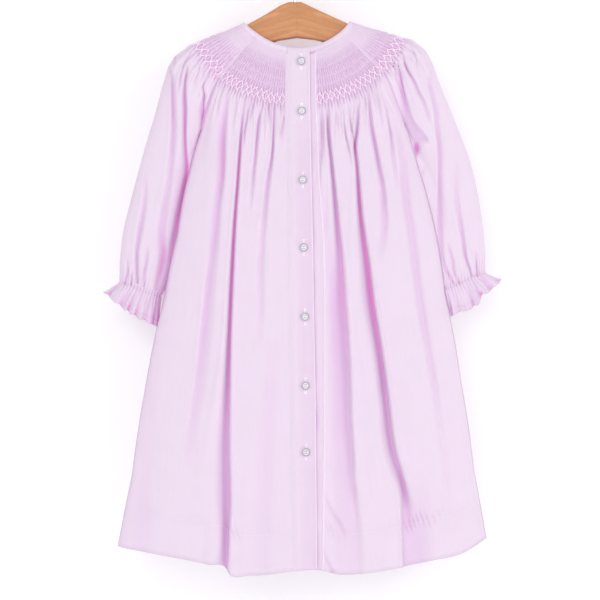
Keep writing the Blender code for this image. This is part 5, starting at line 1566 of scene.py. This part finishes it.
class DRESS_OT_stitches(Operator):
    """Machine stitches of the hem, the button bands and the neck binding"""
    bl_idname = "dress.stitches"
    bl_label = "Seam stitches"

    def execute(self, context):
        cloth = context.scene.dress_cloth
        looks = context.scene.dress_look
        material = sewing_thread(looks)
        radius = cloth.thread_radius / MM
        length = cloth.stitch / MM
        gap = 0.35 * length
        line = np.linspace(0.004, 0.996, 900)
        for name in ("front_left", "front_right", "back"):
            made = running_line(name, np.full(900, HEM_RADIUS - HEM_FOLD), line, length, gap, 0.05)
            settle(stitch_mesh(name + "_hem_stitches", *made, radius, material))
        down = np.linspace(NECK_RADIUS + 2.0, HEM_RADIUS - 1.0, 1500)
        sets = [running_line("placket_over", down, np.full(1500, share), length, gap, 0.05)
                for share in (0.09, 0.91)]
        joined = [np.concatenate(part) for part in zip(*sets)]
        settle(stitch_mesh("placket_stitches", *joined, radius, material))
        down = np.linspace(YOKE_RADIUS + 1.0, HEM_RADIUS - 1.0, 1500)
        made = running_line("placket_under", down, np.full(1500, 0.91), length, gap, 0.05)
        settle(stitch_mesh("placket_under_stitches", *made, radius, material))
        made = running_line("neck_binding", np.full(1500, 0.80), np.linspace(0.003, 0.997, 1500), length,
                            gap, 0.05)
        settle(stitch_mesh("binding_stitches", *made, radius, material))
        for name in ("sleeve_left", "sleeve_right"):
            round_it = np.linspace(0.0, 1.0, 1200)
            sets = [running_line(name, np.full(1200, STATION_ROWS + station), round_it, length * 0.8,
                                 gap, lift)
                    for station, lift in ((LAST_STATION - 0.22, 0.05), (CUFF_STATION, 0.10))]
            joined = [np.concatenate(part) for part in zip(*sets)]
            settle(stitch_mesh(name + "_stitches", *joined, radius, material))
        return {"FINISHED"}


def button_frame(across, drop):
    """Middle on the band and the right, down and outward directions of a button."""
    radius = math.hypot(across - RAY_ACROSS, drop - RAY_DROP)
    spots = [band_surface(np.array(radius + step), np.array(across), -BAND_RAISED)
             for step in (0.0, 5.0, -5.0)]
    down = unit(spots[1] - spots[2])
    right = np.array((1.0, 0.0, 0.0))
    out = unit(np.cross(down, right))
    if out[1] > 0:
        out = -out
    return spots[0], right, down, out


def button_mesh(name, number, middle, right, down, out):
    """Turned round button from its outline."""
    sides = BUTTON_SIDES
    rings = len(BUTTON_PROFILE) - 2
    points, faces = [], []
    for reach, height in BUTTON_PROFILE[1:-1]:
        for k in range(sides):
            turn = 2.0 * math.pi * k / sides
            around = right * math.cos(turn) + down * math.sin(turn)
            points.append(middle + around * reach + out * height)
    points.append(middle + out * BUTTON_PROFILE[0][1])
    points.append(middle + out * BUTTON_PROFILE[-1][1])
    for i in range(rings - 1):
        for k in range(sides):
            n = (k + 1) % sides
            faces.append((i * sides + k, i * sides + n, (i + 1) * sides + n, (i + 1) * sides + k))
    for k in range(sides):
        n = (k + 1) % sides
        faces.append((rings * sides, n, k))
        faces.append((rings * sides + 1, (rings - 1) * sides + k, (rings - 1) * sides + n))
    pearl = pearl_material(name + "_pearl", number, middle)
    return mesh_object(name + "_pearl", np.array(points) * MM, faces, pearl)


def button_thread(name, middle, right, down, out, thread):
    """Two pairs of threads through the four holes."""
    starts, ends = [], []
    for side in (-HOLE_REACH, HOLE_REACH):
        for off in (-0.16, 0.16):
            foot = middle + out * 1.78 + right * (side + off)
            starts.append(foot - down * 0.95)
            ends.append(foot + down * 0.95)
    return stitch_mesh(name + "_thread", starts, ends, [out] * len(starts), 0.2, thread)


def buttonhole(name, middle, right, down, out, thread):
    """Close stitches down both lips of a buttonhole, with a bar at each end."""
    starts, ends = [], []
    for step in np.arange(-BUTTONHOLE_HALF, BUTTONHOLE_HALF + 0.1, 0.42):
        for side in (-1, 1):
            starts.append(middle + down * step + right * side * 0.18 + out * 0.08)
            ends.append(middle + down * step + right * side * 1.15 + out * 0.08)
    for end in (-BUTTONHOLE_HALF - 0.3, BUTTONHOLE_HALF + 0.3):
        for off in (-0.3, 0.0, 0.3):
            foot = middle + down * (end + off) + out * 0.1
            starts.append(foot - right * 1.2)
            ends.append(foot + right * 1.2)
    return stitch_mesh(name + "_buttonhole", starts, ends, [out] * len(starts), 0.22, thread)


class DRESS_OT_buttons(Operator):
    """Pearly buttons with four holes painted on, their threads and the worked buttonholes"""
    bl_idname = "dress.buttons"
    bl_label = "Buttons"

    def execute(self, context):
        thread = white_thread(context.scene.dress_look)
        for number, (across, drop) in enumerate(BUTTON_ROWS, start=1):
            name = "button_%d" % number
            ways = button_frame(across, drop)
            settle(button_mesh(name, number, *ways), (name,))
            settle(button_thread(name, *ways, thread))
            settle(buttonhole(name, *ways, thread))
        return {"FINISHED"}


def bar_outline():
    """Outline of the hanger bar, its top one seam under the cloth that hangs on it."""
    top = []
    for side in (-1, 1):
        rows = np.asarray(SLEEVES[side]["yoke"], dtype=float)
        steps = []
        for radius in (66, 73, 88, 105, 124, 137, 147):
            here, ahead = ([float(np.interp(r, rows[:, 0], rows[:, k])) for k in (1, 2)]
                           for r in (radius, radius + 1.0))
            wide = abs(ahead[0] - here[0])
            fall = abs(ahead[1] - here[1])
            length = math.hypot(wide, fall)
            under = 3.2 if radius <= YOKE_RADIUS else 1.5
            steps.append((here[0] - side * under * fall / length, here[1] + under * wide / length))
        top.append(steps)
    left = [(-31.0, 12.2), (-17.0, 3.4), (-8.5, 0.0)]
    right = [(4.0, 0.0), (8.0, 1.6), (22.0, 8.4)]
    return list(reversed(top[0])) + left + right + list(top[1]) + list(reversed(BAR_UNDERSIDE))


def bar_mesh():
    """Flat bar cut to its outline."""
    outline = bar_outline()
    curve = bpy.data.curves.new("bar_outline", "CURVE")
    curve.dimensions = "2D"
    curve.fill_mode = "BOTH"
    spline = curve.splines.new("POLY")
    spline.points.add(len(outline) - 1)
    for spot, (across, drop) in zip(spline.points, outline):
        spot.co = (across * MM, (TOP_OF_BAR - drop) * MM, 0.0, 1.0)
    spline.use_cyclic_u = True
    curve.extrude = BAR_HALF * MM
    shape = bpy.data.objects.new("bar_outline", curve)
    bpy.context.scene.collection.objects.link(shape)
    shape.rotation_euler = (math.pi / 2.0, 0.0, 0.0)
    bpy.context.view_layer.update()
    mesh = bpy.data.meshes.new_from_object(shape.evaluated_get(bpy.context.evaluated_depsgraph_get()))
    mesh.transform(shape.matrix_world)
    bpy.data.objects.remove(shape)
    joined = bmesh.new()
    joined.from_mesh(mesh)
    bmesh.ops.remove_doubles(joined, verts=joined.verts, dist=1e-6)
    bmesh.ops.dissolve_limit(joined, angle_limit=0.01, verts=joined.verts, edges=joined.edges)
    bmesh.ops.recalc_face_normals(joined, faces=joined.faces)
    joined.to_mesh(mesh)
    joined.free()
    mesh.polygons.foreach_set("use_smooth", [True] * len(mesh.polygons))
    return mesh


def hook_curve():
    """Round wire up from the bar, over to one side and round its bend."""
    path = [(-2.5, TOP_OF_BAR - 11.0), (-2.5, TOP_OF_BAR + 14.0), (-3.5, TOP_OF_BAR + 20.0),
            (-7.5, TOP_OF_BAR + 25.5)]
    for degrees in range(232, -31, -15):
        turn = math.radians(degrees)
        path.append((HOOK_REACH * math.cos(turn), HOOK_MIDDLE + HOOK_REACH * math.sin(turn)))
    wire = bpy.data.curves.new("hook_wire", "CURVE")
    wire.dimensions = "3D"
    wire.bevel_depth = WIRE_RADIUS * MM
    wire.bevel_resolution = 5
    wire.use_fill_caps = True
    spline = wire.splines.new("BEZIER")
    spline.bezier_points.add(len(path) - 1)
    for spot, (across, height) in zip(spline.bezier_points, path):
        spot.co = (across * MM, 0.0, height * MM)
        spot.handle_left_type = spot.handle_right_type = "AUTO"
    return wire


class DRESS_OT_hanger(Operator):
    """Rounded wooden bar and its bent wire hook"""
    bl_idname = "dress.hanger"
    bl_label = "Hanger"

    def execute(self, context):
        mesh = bar_mesh()
        mesh.materials.clear()
        mesh.materials.append(wood_material(context.scene.dress_look))
        bar = bpy.data.objects.new("hanger_bar", mesh)
        context.scene.collection.objects.link(bar)
        rounding = bar.modifiers.new("rounding", "BEVEL")
        rounding.width = BAR_ROUNDING * MM
        rounding.segments = 5
        rounding.limit_method = "ANGLE"
        rounding.angle_limit = math.radians(60.0)
        rounding.harden_normals = True
        settle(bar, ("hanger",))

        wire = hook_curve()
        wire.materials.append(steel_material())
        hook = bpy.data.objects.new("hook_wire", wire)
        context.scene.collection.objects.link(hook)
        settle(hook, ("hook",))
        return {"FINISHED"}


class DRESS_OT_stage(Operator):
    """Pale floor and backdrop, soft lights and the camera"""
    bl_idname = "dress.stage"
    bl_label = "Stage"

    def execute(self, context):
        stage = context.scene.dress_stage
        material, tree, shader = finish_material("pale_paint", {
            "Base Color": (0.93, 0.93, 0.935, 1.0), "Roughness": 0.9,
            "Emission Color": (1.0, 1.0, 1.0, 1.0), "Emission Strength": 0.18})
        clear = tree.nodes.new("ShaderNodeBsdfTransparent")
        side = tree.nodes.new("ShaderNodeNewGeometry")
        mix = tree.nodes.new("ShaderNodeMixShader")
        tree.links.new(side.outputs["Backfacing"], mix.inputs[0])
        tree.links.new(shader.outputs[0], mix.inputs[1])
        tree.links.new(clear.outputs[0], mix.inputs[2])
        tree.links.new(mix.outputs[0], tree.nodes["Material Output"].inputs["Surface"])
        for name, spots in STAGE_CORNERS.items():
            mesh = bpy.data.meshes.new(name)
            mesh.from_pydata(spots, [], [(0, 1, 2, 3)])
            mesh.materials.append(material)
            thing = bpy.data.objects.new(name, mesh)
            context.scene.collection.objects.link(thing)
        for name, where, width, share, colour in LIGHT_ROWS:
            lamp = bpy.data.lights.new(name, "AREA")
            lamp.size = width
            lamp.energy = stage.key * share
            lamp.color = colour
            thing = bpy.data.objects.new(name, lamp)
            thing.location = where
            aim = np.array(LIT_SPOT) - np.array(where)
            tip = math.atan2(math.hypot(aim[0], aim[1]), -aim[2])
            thing.rotation_euler = (tip, 0.0, math.atan2(aim[1], aim[0]) - math.pi / 2.0)
            context.scene.collection.objects.link(thing)
        context.scene.view_settings.view_transform = "Standard"
        world = context.scene.world or bpy.data.worlds.new("surroundings")
        context.scene.world = world
        world.use_nodes = True
        ground = world.node_tree.nodes["Background"]
        ground.inputs["Color"].default_value = (0.96, 0.97, 1.0, 1.0)
        ground.inputs["Strength"].default_value = stage.fill
        view = bpy.data.cameras.new("front_view")
        view.lens = stage.lens
        view.sensor_width = 36.0
        camera = bpy.data.objects.new("front_view", view)
        camera.location = (CAMERA_ACROSS, -stage.distance - FRONT_OF_DRESS, CAMERA_HEIGHT)
        camera.rotation_euler = (math.pi / 2.0, 0.0, 0.0)
        context.scene.collection.objects.link(camera)
        context.scene.camera = camera
        return {"FINISHED"}


class DRESS_PT_panel(Panel):
    """Settings and steps of the dress"""
    bl_idname = "DRESS_PT_panel"
    bl_label = "Smocked dress"
    bl_space_type = "VIEW_3D"
    bl_region_type = "UI"
    bl_category = "Dress"

    def draw(self, context):
        layout = self.layout
        for settings in (context.scene.dress_cloth, context.scene.dress_look, context.scene.dress_stage):
            box = layout.box()
            for name in settings.__annotations__:
                box.prop(settings, name)
        for operator in OPERATORS:
            layout.operator(operator.bl_idname)


OPERATORS = (DRESS_OT_fronts, DRESS_OT_back, DRESS_OT_sleeves, DRESS_OT_seams, DRESS_OT_bands,
             DRESS_OT_smocking, DRESS_OT_stitches, DRESS_OT_buttons, DRESS_OT_hanger, DRESS_OT_stage)
CLASSES = (DressClothSettings, DressLookSettings, DressStageSettings) + OPERATORS + (DRESS_PT_panel,)


def register():
    for item in CLASSES:
        bpy.utils.register_class(item)
    bpy.types.Scene.dress_cloth = PointerProperty(type=DressClothSettings)
    bpy.types.Scene.dress_look = PointerProperty(type=DressLookSettings)
    bpy.types.Scene.dress_stage = PointerProperty(type=DressStageSettings)


def unregister():
    del bpy.types.Scene.dress_stage
    del bpy.types.Scene.dress_look
    del bpy.types.Scene.dress_cloth
    for item in reversed(CLASSES):
        bpy.utils.unregister_class(item)


def plain(box):
    """Box as plain lists of numbers."""
    return [[round(float(value), 5) for value in corner] for corner in box]


def main():
    """Builds the whole dress in order."""
    register()
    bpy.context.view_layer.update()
    bpy.ops.dress.fronts()
    bpy.ops.dress.back()
    bpy.ops.dress.sleeves()
    bpy.ops.dress.seams()
    bpy.ops.dress.bands()
    bpy.ops.dress.smocking()
    bpy.ops.dress.stitches()
    bpy.ops.dress.buttons()
    bpy.ops.dress.hanger()
    bpy.ops.dress.stage()


if __name__ == "__main__":
    main()
